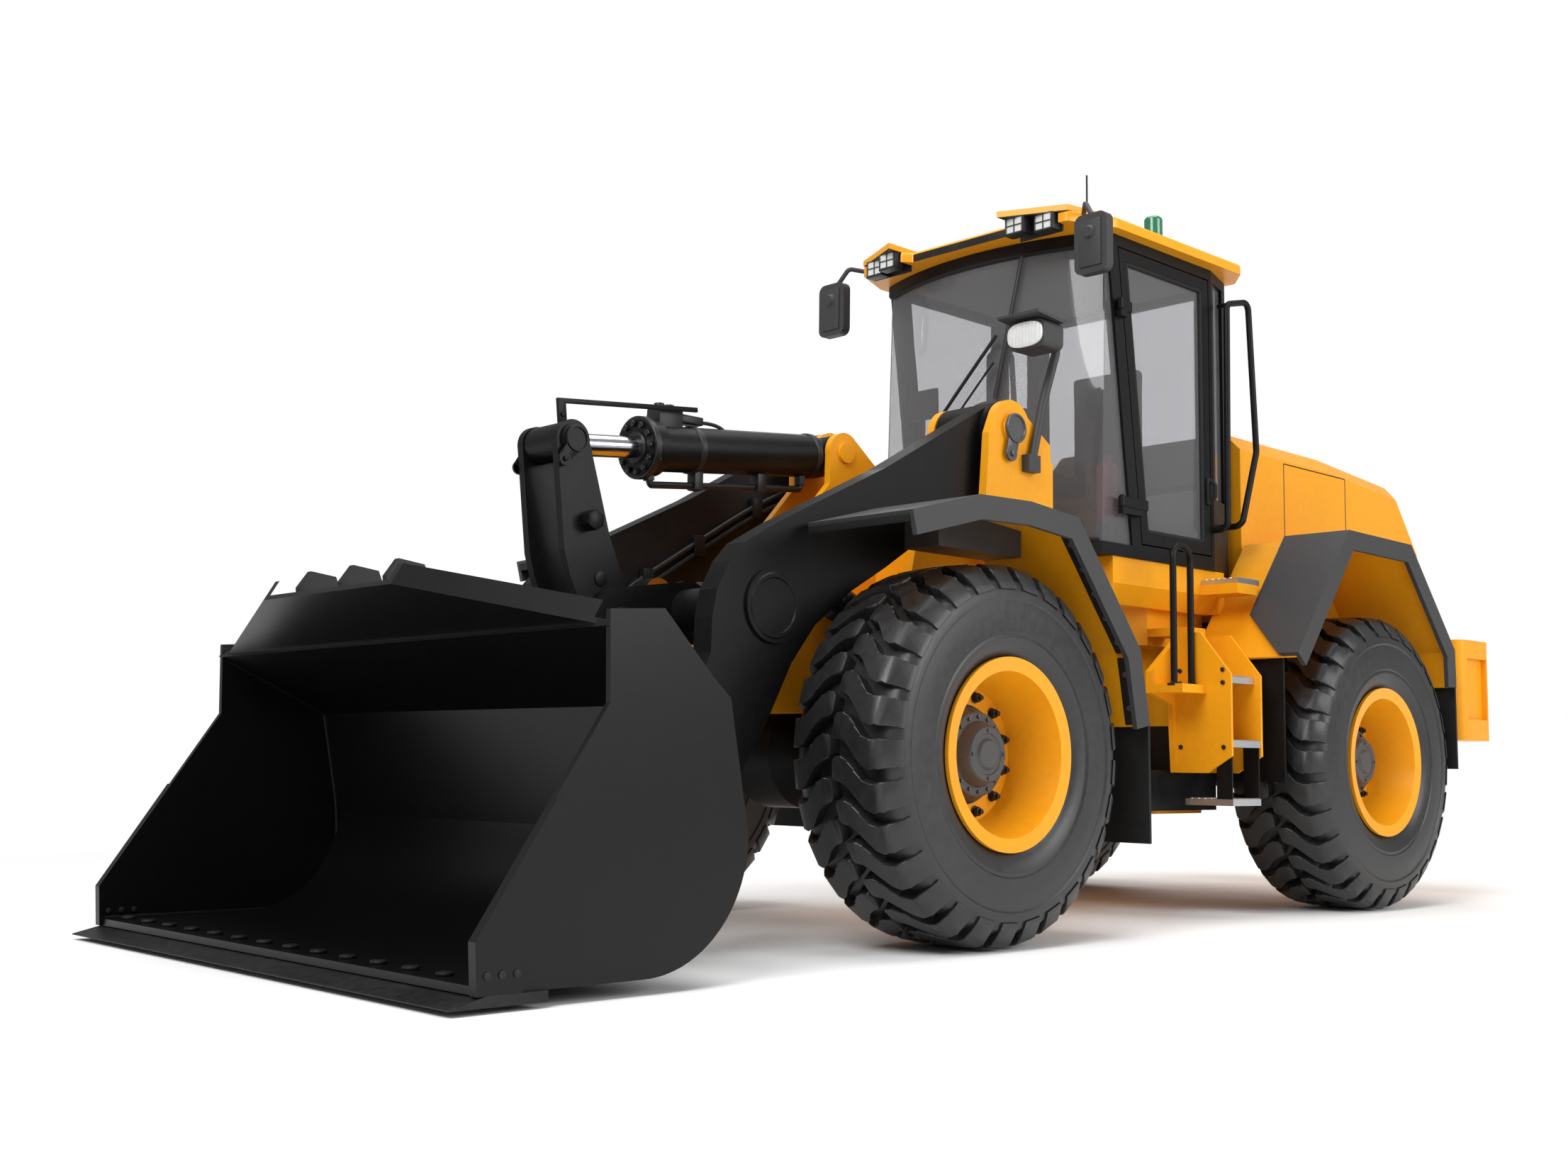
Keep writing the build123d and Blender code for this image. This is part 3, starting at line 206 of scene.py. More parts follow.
class ShaderKit:
    """Builds the shared node groups once and a material for each finish."""

    def __init__(self) -> None:
        """Build the groups; a material is made on first use."""
        self.materials: dict[str, bpy.types.Material] = {}
        self.soil = self._soil_group()
        self.grains = {kind: self._grain_group(kind) for kind in Grain}

    @staticmethod
    def _new_group(
        name: str, number: str, default: float, output: str
    ) -> tuple[Graph, bpy.types.Node, bpy.types.Node]:
        """Make an empty group that takes coordinates and a number and gives a number.

        Args:
            name: Group name.
            number: Name of the number.
            default: Its value when nothing is set.
            output: Name of what the group gives.

        Returns:
            The group's graph, its input node and its output node.
        """
        tree = bpy.data.node_groups.new(name, "ShaderNodeTree")
        tree.interface.new_socket("Vector", in_out="INPUT", socket_type="NodeSocketVector")
        socket = tree.interface.new_socket(number, in_out="INPUT", socket_type="NodeSocketFloat")
        socket.default_value = default
        tree.interface.new_socket(output, in_out="OUTPUT", socket_type="NodeSocketFloat")
        return Graph(tree), tree.nodes.new("NodeGroupInput"), tree.nodes.new("NodeGroupOutput")

    def _soil_group(self) -> bpy.types.NodeTree:
        """Make a mask of dust and rubbing: broad clouds broken by a finer noise.

        Returns:
            A group with Vector and Amount inputs and a Mask output.
        """
        graph, start, end = self._new_group("site_soil", "Amount", 0.2, "Mask")
        product, scaled = graph.add("Math", "MULTIPLY"), graph.add("Math", "MULTIPLY")
        for slot, (scale, detail) in enumerate(((2.3, 6), (31, 4))):
            noise = graph.add("TexNoise", Scale=scale, Detail=detail)
            graph.join((start.outputs["Vector"], noise.inputs["Vector"]),
                       (noise.outputs["Fac"], product.inputs[slot]))
        band = graph.add("MapRange", From_Min=0.16, From_Max=0.46)
        graph.join((product.outputs[0], band.inputs["Value"]), (band.outputs["Result"], scaled.inputs[0]),
                   (start.outputs["Amount"], scaled.inputs[1]), (scaled.outputs[0], end.inputs["Mask"]))
        return graph.tree

    def _grain_group(self, kind: Grain) -> bpy.types.NodeTree:
        """Make the height of one kind of surface grain.

        Args:
            kind: Which grain.

        Returns:
            A group with Vector and Size inputs and a Height output.
        """
        graph, start, end = self._new_group(f"grain_{kind.value}", "Size", 60.0, "Height")
        vector, size = start.outputs["Vector"], start.outputs["Size"]
        if kind is Grain.WOVEN:
            total = graph.add("Math", "ADD")
            for slot, bands in enumerate("YZ"):
                wave = graph.add("TexWave")
                wave.bands_direction = bands
                graph.join((vector, wave.inputs["Vector"]), (size, wave.inputs["Scale"]),
                           (wave.outputs["Fac"], total.inputs[slot]))
            graph.join((total.outputs[0], end.inputs["Height"]))
            return graph.tree
        if kind is Grain.MOULDED:
            source = graph.add("TexVoronoi")
            height = source.outputs["Distance"]
        else:
            source = graph.add("TexNoise", Detail={Grain.SPRAYED: 2, Grain.RUBBED: 8, Grain.DRAWN: 3}[kind])
            height = source.outputs["Fac"]
        if kind is Grain.DRAWN:
            stretch = graph.add("Mapping", Scale=(0.15, 1.0, 1.0))
            graph.join((vector, stretch.inputs["Vector"]))
            vector = stretch.outputs["Vector"]
        graph.join((vector, source.inputs["Vector"]), (size, source.inputs["Scale"]),
                   (height, end.inputs["Height"]))
        return graph.tree

    @staticmethod
    def _place(
        graph: Graph, group: bpy.types.NodeTree, vector: bpy.types.NodeSocket, value: float
    ) -> bpy.types.NodeSocket:
        """Put a group into a material.

        Args:
            graph: The material's nodes.
            group: Which group.
            vector: Socket that gives the coordinates.
            value: The group's number.

        Returns:
            The group's output socket.
        """
        node = graph.add("Group")
        node.node_tree = group
        graph.join((vector, node.inputs[0]))
        node.inputs[1].default_value = value
        return node.outputs[0]

    def _wear(self, graph: Graph, shader: bpy.types.Node, finish: Finish) -> None:
        """Let soil change the colour and roughness of an opaque finish, and give it its grain.

        Args:
            graph: The material's nodes.
            shader: Its shader.
            finish: Which finish.
        """
        coords = graph.add("TexCoord").outputs["Object"]
        mask = self._place(graph, self.soil, coords, finish.soil)
        mix = graph.add("Mix")
        mix.data_type = "RGBA"
        mix.inputs["A"].default_value = (*finish.colour, 1)
        mix.inputs["B"].default_value = (*finish.soiled, 1)
        dull = graph.add("MapRange", To_Min=finish.rough, To_Max=min(1.0, finish.rough + SOILED_ROUGHER))
        graph.join((mask, mix.inputs["Factor"]), (mix.outputs["Result"], shader.inputs["Base Color"]),
                   (mask, dull.inputs["Value"]), (dull.outputs["Result"], shader.inputs["Roughness"]))
        if finish.relief:
            bump = graph.add("Bump", Strength=finish.relief, Distance=GRAIN_DEPTH)
            height = self._place(graph, self.grains[finish.grain], coords, finish.size)
            graph.join((height, bump.inputs["Height"]), (bump.outputs["Normal"], shader.inputs["Normal"]))

    def material(self, finish: Finish) -> bpy.types.Material:
        """The material of a finish, made on first use.

        Args:
            finish: Which finish.

        Returns:
            A material with soil and grain, or with plain values for glass.
        """
        if finish.name in self.materials:
            return self.materials[finish.name]
        made = bpy.data.materials.new(f"loader_{finish.name}")
        made.use_nodes = True
        graph = Graph(made.node_tree)
        shader = graph.find("BSDF_PRINCIPLED")
        values = {"Metallic": finish.metal, "Specular IOR Level": finish.shine, "Coat Weight": finish.coat,
                  "Coat Roughness": COAT_ROUGH}
        # For glass, the part that is not clear shows the grey base colour as a diffuse haze: painted
        # reflection.
        if finish.clear:
            values |= {"Base Color": (*finish.colour, 1), "Roughness": finish.rough,
                       "Transmission Weight": finish.clear, "IOR": GLASS_IOR}
        else:
            self._wear(graph, shader, finish)
        for name, value in values.items():
            shader.inputs[name].default_value = value
        self.materials[finish.name] = made
        return made

    def dress(self, piece: bpy.types.Object, name: str) -> None:
        """Give a piece the material of a named finish."""
        piece.data.materials.clear()
        piece.data.materials.append(self.material(FINISHES[name]))


class Mould:
    """One new piece while it is shaped, in metres in the machine's frame."""

    def __init__(self, name: str) -> None:
        """Start an empty piece with its name."""
        self.name = name
        self.bm = bmesh.new()

    def geometry(self) -> list:
        """Everything that is in the piece so far."""
        return [*self.bm.verts, *self.bm.edges, *self.bm.faces]

    def bevel(self, edges: Iterable[bmesh.types.BMEdge], width: float) -> None:
        """Round some edges to a width."""
        bmesh.ops.bevel(self.bm, geom=list(edges), offset=width, offset_type="OFFSET", segments=2, profile=0.5,
                        affect="EDGES", material=-1, clamp_overlap=True)

    def _soften(self, verts: Iterable[bmesh.types.BMVert], edge: float) -> None:
        """Round the sharp edges at some vertices.

        Args:
            verts: Vertices of the shape.
            edge: Width of the rounding; nothing is done for 0.
        """
        if edge:
            self.bevel({e for v in verts for e in v.link_edges
                        if len(e.link_faces) == 2 and e.calc_face_angle(0.0) > SHARP_EDGE}, edge)

    def box(self, low: Point, high: Point, edge: float = 0.004) -> None:
        """Add a block with softened edges.

        Args:
            low: Lowest corner.
            high: Highest corner.
            edge: Width of the rounding.
        """
        made = bmesh.ops.create_cube(self.bm, size=1.0)["verts"]
        bmesh.ops.scale(self.bm, vec=Vector(high) - Vector(low), verts=made)
        bmesh.ops.translate(self.bm, vec=(Vector(high) + Vector(low)) / 2, verts=made)
        self._soften(made, edge)

    def rod(self, start: Point, end: Point, radius: float, sides: int = 24, edge: float = 0.0) -> None:
        """Add a round or many-sided bar between two points.

        Args:
            start: Centre of one end.
            end: Centre of the other end.
            radius: Radius to the corners.
            sides: Number of sides.
            edge: Width of the rounding at the ends.
        """
        way = Vector(end) - Vector(start)
        turn = way.to_track_quat("Z", "Y").to_matrix().to_4x4()
        place = Matrix.Translation((Vector(start) + Vector(end)) / 2) @ turn
        made = bmesh.ops.create_cone(self.bm, cap_ends=True, segments=sides, radius1=radius, radius2=radius,
                                     depth=way.length, matrix=place)["verts"]
        self._soften(made, edge)

    def heads(self, places: Iterable[Point], way: Point, radius: float = 0.012, height: float = 0.010,
              sides: int = HEX) -> None:
        """Add bolt heads that stand on a face.

        Args:
            places: Centres on the face.
            way: Direction out of the face.
            radius: Radius of a head.
            height: Height of a head.
            sides: Number of sides.
        """
        out = Vector(way).normalized()
        for place in places:
            self.rod(place, tuple(Vector(place) + out * height), radius, sides, radius * 0.18)

    def turned(self, centre: Point, way: Point, profile: Sequence[Pair], steps: int = 64) -> None:
        """Turn a profile about an axis.

        Args:
            centre: Point on the axis where heights start.
            way: Direction of the axis.
            profile: Radius and height of each point.
            steps: Number of steps round the axis.
        """
        axis = Vector(way).normalized()
        side = axis.orthogonal().normalized()
        verts = [self.bm.verts.new(Vector(centre) + side * r + axis * h) for r, h in profile]
        edges = [self.bm.edges.new(pair) for pair in zip(verts, verts[1:])]
        bmesh.ops.spin(self.bm, geom=[*verts, *edges], cent=centre, axis=axis, angle=math.tau, steps=steps,
                       use_merge=True)
        bmesh.ops.remove_doubles(self.bm, verts=self.bm.verts[:], dist=1e-5)

    def prism(self, outline: Sequence[Point], shift: Point, edge: float = 0.003) -> None:
        """Draw a flat outline out into a plate.

        Args:
            outline: Corners of the outline.
            shift: How far and where to it is drawn out.
            edge: Width of the rounding.
        """
        face = self.bm.faces.new([self.bm.verts.new(p) for p in outline])
        grown = bmesh.ops.extrude_face_region(self.bm, geom=[face])["geom"]
        moved = [g for g in grown if isinstance(g, bmesh.types.BMVert)]
        bmesh.ops.translate(self.bm, vec=shift, verts=moved)
        whole = {v for m in moved for e in m.link_edges for v in e.verts}
        bmesh.ops.holes_fill(self.bm, edges=[e for v in whole for e in v.link_edges if e.is_boundary])
        bmesh.ops.recalc_face_normals(self.bm, faces=self.bm.faces[:])
        self._soften(whole, edge)

    def pipe(self, points: Sequence[Point], radius: float) -> None:
        """Add a smooth bent pipe that follows a few points.

        Args:
            points: Points that steer the pipe.
            radius: Radius of the pipe.
        """
        data = bpy.data.curves.new(f"{self.name}_line", "CURVE")
        data.dimensions = "3D"
        data.bevel_depth = radius
        data.bevel_resolution = 3
        data.resolution_u = 8
        data.use_fill_caps = True
        run = data.splines.new("NURBS")
        run.points.add(len(points) - 1)
        for knot, place in zip(run.points, points):
            knot.co = (*place, 1.0)
        run.order_u = 3
        run.use_endpoint_u = True
        holder = placed(f"{self.name}_line", data)
        view = bpy.context.evaluated_depsgraph_get()
        mesh = bpy.data.meshes.new_from_object(holder.evaluated_get(view))
        self.bm.from_mesh(mesh)
        bpy.data.objects.remove(holder)
        bpy.data.curves.remove(data)
        bpy.data.meshes.remove(mesh)

    def both_sides(self) -> None:
        """Add the same shapes on the machine's other side."""
        copied = bmesh.ops.duplicate(self.bm, geom=self.geometry())["geom"]
        bmesh.ops.scale(self.bm, vec=(1, -1, 1), verts=[g for g in copied if isinstance(g, bmesh.types.BMVert)])

    def mesh(self) -> bpy.types.Mesh:
        """Close the shape into a mesh with outward faces and smooth rounds.

        Returns:
            The finished mesh.
        """
        bmesh.ops.recalc_face_normals(self.bm, faces=self.bm.faces[:])
        data = bpy.data.meshes.new(self.name)
        self.bm.to_mesh(data)
        self.bm.free()
        data.polygons.foreach_set("use_smooth", [True] * len(data.polygons))
        data.set_sharp_from_angle(angle=SMOOTH_UNDER)
        return data


def settle(kit: ShaderKit, name: str, mesh: bpy.types.Mesh, finish: str, body: str) -> bpy.types.Object:
    """Put a finished mesh on the machine.

    Args:
        kit: Where materials come from.
        name: Name of the piece.
        mesh: Its mesh, in place.
        finish: Which finish it gets.
        body: Body that it rides on.

    Returns:
        The new object.
    """
    piece = placed(name, mesh)
    kit.dress(piece, finish)
    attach(piece, body)
    LOG.info("piece %s in %s on %s", name, finish, body)
    return piece


def ring(count: int, radius: float, y: float, phase: float = 0.0) -> list[Point]:
    """Points that stand evenly round +Y.

    Args:
        count: Number of points.
        radius: Radius of their circle.
        y: Where the circle lies on the axis.
        phase: Turn of the first point, in steps.

    Returns:
        The points.
    """
    turns = [math.tau * (n + phase) / count for n in range(count)]
    return [(radius * math.cos(t), y, radius * math.sin(t)) for t in turns]


@dataclass
class Paintwork:
    """The finishes of the solids that show as they are.

    Args:
        kit: Where materials come from.
        special: Solids whose finish is a variant of their slot.
    """

    kit: ShaderKit
    special: dict[str, str] = field(default_factory=lambda: {"bucket": "bucket_black"})

    def dress(self) -> None:
        """Give every solid the finish that the record names for it."""
        for part in frame["record"]["subparts"]:
            finish = self.special.get(part["node"], part["material_slot"])
            self.kit.dress(frame["nodes"][part["node"]], finish)
            LOG.info("finish %s on %s", finish, part["node"])


@dataclass
class Stage:
    """Floor, lights and camera.

    Args:
        eye: Camera place.
        heading: Direction of view round +Z from +X, in degrees.
        rise: Tilt of the view above level, in degrees.
        roll: Turn of the camera about its view, in degrees.
        lens: Focal length for a 36 mm wide frame.
        white_from: Distance from the machine's middle where the floor starts to turn plain white.
        white_to: Distance where it is plain white.
        lamps: Name, place, aim, size and power of each soft box.
    """

    eye: Point = (6.267, 5.278, 0.698)
    heading: float = 226.129
    rise: float = 5.961
    roll: float = 0.704
    lens: float = 38.69
    white_from: float = 4.2
    white_to: float = 7.5
    lamps: Sequence[tuple[str, Point, Point, float, float]] = (
        ("key", (9.0, 3.0, 8.0), (0.5, 0, 1.2), 6.0, 770.0),
        ("fill", (-3.0, 10.0, 5.0), (-0.5, 0, 1.2), 6.0, 530.0),
        ("top", (0.0, 0.0, 11.0), (0, 0, 0), 10.0, 800.0),
        ("rim", (-8.0, -6.0, 6.0), (0, 0, 1.5), 6.0, 360.0),
    )

    def camera(self) -> None:
        """Make the camera at the photograph's place and angle."""
        data = bpy.data.cameras.new("view")
        data.sensor_width = 36.0
        data.lens = self.lens
        data.clip_end = 500
        camera = placed("view", data)
        turn, up = math.radians(self.heading), math.radians(self.rise)
        ahead = Vector((math.cos(up) * math.cos(turn), math.cos(up) * math.sin(turn), math.sin(up)))
        aim = ahead.to_track_quat("-Z", "Y").to_matrix().to_4x4()
        spin = Matrix.Rotation(math.radians(self.roll), 4, "Z")
        camera.matrix_world = Matrix.Translation(self.eye) @ aim @ spin
        bpy.context.scene.camera = camera

    def floor(self) -> None:
        """Make a pale floor that keeps the machine's shadow."""
        shape = bmesh.new()
        bmesh.ops.create_grid(shape, x_segments=1, y_segments=1, size=60)
        mesh = bpy.data.meshes.new("floor")
        shape.to_mesh(mesh)
        shape.free()
        floor = placed("floor", mesh)
        paint = bpy.data.materials.new("floor_white")
        paint.use_nodes = True
        graph = Graph(paint.node_tree)
        shader, out = graph.find("BSDF_PRINCIPLED"), graph.find("OUTPUT_MATERIAL")
        shader.inputs["Base Color"].default_value = (0.95, 0.95, 0.95, 1)
        shader.inputs["Roughness"].default_value = 0.9
        shader.inputs["Specular IOR Level"].default_value = 0.1
        coords, glow, blend = graph.add("TexCoord"), graph.add("Emission"), graph.add("MixShader")
        reach = graph.add("VectorMath", "LENGTH")
        fade = graph.add("MapRange", From_Min=self.white_from, From_Max=self.white_to)
        graph.join((coords.outputs["Object"], reach.inputs[0]), (reach.outputs["Value"], fade.inputs["Value"]),
                   (fade.outputs["Result"], blend.inputs["Fac"]), (shader.outputs["BSDF"], blend.inputs[1]),
                   (glow.outputs["Emission"], blend.inputs[2]),
                   (blend.outputs["Shader"], out.inputs["Surface"]))
        mesh.materials.append(paint)

    def world(self) -> None:
        """Light the air evenly, and show it white to the camera and through glass."""
        world = bpy.data.worlds.new("studio")
        bpy.context.scene.world = world
        world.use_nodes = True
        graph = Graph(world.node_tree)
        back = graph.find("BACKGROUND")
        back.inputs["Color"].default_value = (1, 1, 1, 1)
        path, both = graph.add("LightPath"), graph.add("Math", "MAXIMUM")
        level = graph.add("MapRange", To_Min=AIR_LIGHT, To_Max=1.0)
        graph.join((path.outputs["Is Camera Ray"], both.inputs[0]),
                   (path.outputs["Is Transmission Ray"], both.inputs[1]),
                   (both.outputs[0], level.inputs["Value"]), (level.outputs["Result"], back.inputs["Strength"]))

    def lights(self) -> None:
        """Hang the soft boxes."""
        for name, place, aim, size, power in self.lamps:
            data = bpy.data.lights.new(name, "AREA")
            data.shape = "DISK"
            data.size = size
            data.energy = power
            lamp = placed(name, data)
            lamp.location = place
            lamp.rotation_euler = (Vector(aim) - Vector(place)).to_track_quat("-Z", "Y").to_euler()

    def build(self) -> None:
        """Set the whole stage."""
        self.camera()
        self.floor()
        self.world()
        self.lights()
        bpy.context.scene.view_settings.view_transform = "Standard"


@dataclass
class Assembly:
    """Fittings that belong together.

    Args:
        kit: Where materials come from.
    """

    kit: ShaderKit

    def fit(self, mould: Mould, finish: str, body: str, mirrored: bool = False) -> bpy.types.Object:
        """Close a piece and put it on the machine.

        Args:
            mould: The shaped piece.
            finish: Which finish it gets.
            body: Body that it rides on.
            mirrored: Whether it is made on the other side too.

        Returns:
            The new object.
        """
        if mirrored:
            mould.both_sides()
        return settle(self.kit, mould.name, mould.mesh(), finish, body)


@dataclass
class Wheels(Assembly):
    """Tyres with waved lugs, hub castings and wheel nuts, on the four wheels.

    Args:
        half_track: Distance of a wheel's middle from the machine's middle.
        lug_count: Lugs on one half of a tread.
        crown: Radius at the top of the lugs.
        camber: How far a lug's top falls at 0.2 m from the tread's middle.
        shoulder: Distance across where a lug's top starts to fall away.
        fall: How fast it falls there, with the square of the distance.
        root: How deep a lug's foot lies in the casing.
        flank: Distance across where the foot starts to follow the casing down.
        tuck: How fast it follows.
        lug_sharp: Radians between two faces of a lug, past which their edge is rounded.
        lug_edge: Width of that rounding.
        floor: Radius between the lugs.
        nut_count: Nuts on one wheel.
        nut_ring: Radius of their circle.
        wall: Radius and height of the casing's profile, from the tread to the rim.
        lug_line: Distance across, distance along and width of a lug at points from the middle out.
        lug_cuts: Distances across where a lug is divided to bend.
        hub: Radius and height of the hub casting's profile.
    """

    half_track: float = 0.975
    lug_count: int = 29
    crown: float = 0.7435
    camber: float = 0.010
    shoulder: float = 0.185
    fall: float = 14.0
    root: float = 0.022
    flank: float = 0.205
    tuck: float = 0.55
    lug_sharp: float = 0.75
    lug_edge: float = 0.007
    floor: float = 0.690
    nut_count: int = 12
    nut_ring: float = 0.231
    wall: Sequence[Pair] = (
        (0.690, 0.0), (0.690, 0.15), (0.688, 0.190), (0.678, 0.222), (0.662, 0.244), (0.638, 0.256),
        (0.626, 0.2605), (0.600, 0.2625), (0.592, 0.2575), (0.560, 0.2615), (0.520, 0.2635), (0.470, 0.2625),
        (0.464, 0.2575), (0.456, 0.2575), (0.450, 0.2605), (0.424, 0.255), (0.400, 0.242), (0.380, 0.226),
        (0.366, 0.222), (0.327, 0.188),
    )
    lug_line: Sequence[Triple] = (
        (0.004, 0.058, 0.060), (0.016, 0.060, 0.090), (0.050, 0.056, 0.100), (0.084, 0.034, 0.104),
        (0.112, 0.002, 0.106), (0.142, -0.034, 0.108), (0.176, -0.050, 0.110), (0.212, -0.048, 0.112),
        (0.2625, -0.046, 0.114),
    )
    lug_cuts: Sequence[float] = (0.05, 0.084, 0.112, 0.142, 0.176, 0.196, 0.212, 0.226, 0.240, 0.252)
    hub: Sequence[Pair] = (
        (0.0, 0.134), (0.052, 0.134), (0.058, 0.128), (0.062, 0.124), (0.078, 0.124), (0.082, 0.129),
        (0.104, 0.129), (0.112, 0.122), (0.124, 0.086), (0.130, 0.078), (0.160, 0.077), (0.166, 0.072),
        (0.176, 0.030), (0.190, 0.022), (0.196, 0.011),
    )

    def lug_top(self, across: float) -> float:
        """Radius of a lug's top at a distance from the tread's middle."""
        past = max(0.0, across - self.shoulder)
        return self.crown - self.camber * (across / 0.2) ** 2 - self.fall * past**2

    def lug_foot(self, across: float) -> float:
        """Radius of a lug's foot inside the casing at a distance from the tread's middle."""
        return self.floor - self.root - self.tuck * max(0.0, across - self.flank)

    def lugs(self, mould: Mould, side: int) -> None:
        """Add the lugs of one half of the tread to a tyre that turns about +Y at the origin.

        Args:
            mould: The tyre being shaped.
            side: 1 for the outer half, -1 for the inner half.
        """
        one = Mould("lug")
        outline = [(along + width / 2, across, 0.0) for across, along, width in self.lug_line]
        outline += [(along - width / 2, across, 0.0) for across, along, width in reversed(self.lug_line)]
        one.prism(outline, UP, 0.0)
        for cut in self.lug_cuts:
            bmesh.ops.bisect_plane(one.bm, geom=one.geometry(), plane_co=(0, cut, 0), plane_no=LEFT)
        stagger = 0.0 if side > 0 else math.pi / self.lug_count
        for vert in one.bm.verts:
            along, across, up = vert.co
            foot = self.lug_foot(across)
            radius = foot + (self.lug_top(across) - foot) * up
            turn = -along / self.crown + stagger
            vert.co = (radius * math.sin(turn), side * across, radius * math.cos(turn))
        bmesh.ops.recalc_face_normals(one.bm, faces=one.bm.faces[:])
        seen_from = self.floor - 0.045
        one.bevel([e for e in one.bm.edges if len(e.link_faces) == 2 and e.calc_face_angle(0.0) > self.lug_sharp
                   and all(math.hypot(v.co.x, v.co.z) > seen_from for v in e.verts)], self.lug_edge)
        copies = self.lug_count - 1
        bmesh.ops.spin(one.bm, geom=one.geometry(), cent=ORIGIN, axis=LEFT,
                       angle=math.tau * copies / self.lug_count, steps=copies, use_duplicate=True)
        held = bpy.data.meshes.new("lugs")
        one.bm.to_mesh(held)
        one.bm.free()
        mould.bm.from_mesh(held)
        bpy.data.meshes.remove(held)

    def tyre(self) -> bpy.types.Mesh:
        """Make one tyre about +Y at the origin.

        Returns:
            The tyre's mesh.
        """
        mould = Mould("tyre")
        inner = [(r, -h) for r, h in reversed(self.wall[1:])]
        mould.turned(ORIGIN, LEFT, [*inner, *self.wall, inner[0]], 96)
        for side in (1, -1):
            self.lugs(mould, side)
        return mould.mesh()

    def hub_mesh(self) -> bpy.types.Mesh:
        """Make one hub casting with its rings of small bolts, about +Y at the origin.

        Returns:
            The hub's mesh.
        """
        mould = Mould("hub")
        mould.turned(ORIGIN, LEFT, self.hub, 72)
        mould.heads(ring(16, 0.146, 0.077), LEFT, 0.0085, 0.009)
        mould.heads(ring(4, 0.093, 0.129), LEFT, 0.007, 0.006)
        return mould.mesh()

    def nut_mesh(self) -> bpy.types.Mesh:
        """Make the ring of wheel nuts with their washers and studs, about +Y at the origin.

        Returns:
            The nuts' mesh.
        """
        mould = Mould("nuts")
        for x, face, z in ring(self.nut_count, self.nut_ring, 0.010, 0.5):
            mould.rod((x, face, z), (x, 0.015, z), 0.023, 20, 0.002)
            mould.heads([(x, 0.015, z)], LEFT, 0.019, 0.022)
            mould.rod((x, 0.030, z), (x, 0.050, z), 0.010, 12, 0.002)
        return mould.mesh()

    def build(self) -> None:
        """Put the tyre, hub and nuts on each wheel."""
        kinds = (("tyre", self.tyre(), "tyre_rubber"), ("hub", self.hub_mesh(), "hub_casting"),
                 ("nuts", self.nut_mesh(), "bolt_black"))
        for end, x in (("front", FRONT_AXLE), ("rear", REAR_AXLE)):
            for hand, side in (("left", 1), ("right", -1)):
                place = Matrix.Translation((x, side * self.half_track, AXLE_Z)) @ Matrix.Scale(side, 4, LEFT)
                for kind, source, finish in kinds:
                    mesh = source.copy()
                    mesh.transform(place)
                    if side < 0:
                        mesh.flip_normals()
                    piece = settle(self.kit, f"wheel_{kind}_{end}_{hand}", mesh, finish, f"wheel_{end}_{hand}")
                    if kind == "tyre":
                        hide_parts(f"tyre_{end}_{hand}")


@dataclass
class Bucket(Assembly):
    """Bolts, welds and wear pads of the bucket.

    Args:
        half: Half of the bucket's outer width.
        plate: Thickness of its side plates.
        bolt_count: Bolts along the cutting edge.
        edge_bolt: X and Z of the bolts in the cutting edge.
        margin: Distance of the outermost of them from the sides.
        side_bolts: X and Z of the bolts in each side plate.
        bead: Radius of a weld bead.
    """

    half: float = 1.289
    plate: float = 0.022
    bolt_count: int = 14
    edge_bolt: Pair = (3.515, 0.075)
    margin: float = 0.09
    side_bolts: Sequence[Pair] = ((3.565, 0.105), (3.515, 0.105), (3.465, 0.105))
    bead: float = 0.009

    def build(self) -> None:
        """Add every fitting of the bucket."""
        edge = Mould("edge_bolts")
        pitch = 2 * (self.half - self.margin) / (self.bolt_count - 1)
        x, z = self.edge_bolt
        spots = [(x, -self.half + self.margin + n * pitch, z) for n in range(self.bolt_count)]
        edge.heads(spots, UP, 0.027, 0.012, 20)
        for side in (1, -1):
            outer, inner = side * (self.half + 0.014), side * (self.half - self.plate)
            edge.heads([(x, outer, z) for x, z in self.side_bolts], (0, side, 0), 0.012, 0.004, 20)
            edge.heads([(x, inner, z) for x, z in self.side_bolts], (0, -side, 0), 0.012, 0.008)
        self.fit(edge, "edge_steel", "bucket_body")
        seam = self.half - self.plate - 0.002
        weld = Mould("bucket_welds")
        for line in (
            ((3.58, 0.077), (3.20, 0.077), (2.995, 0.077), (2.79, 0.080), (2.604, 0.26), (2.602, 0.47),
             (2.645, 0.69), (2.683, 0.885)),
            ((2.685, 0.888), (2.92, 0.997), (3.13, 1.092)),
        ):
            weld.pipe([(x, seam, z) for x, z in line], self.bead)
        self.fit(weld, "black_paint", "bucket_body", mirrored=True)
        pads = Mould("heel_pads")
        for y in (-0.96, -0.32, 0.32, 0.96):
            pads.box((2.98, y - 0.16, 0.030), (3.30, y + 0.16, 0.051), 0.006)
        self.fit(pads, "edge_steel", "bucket_body")


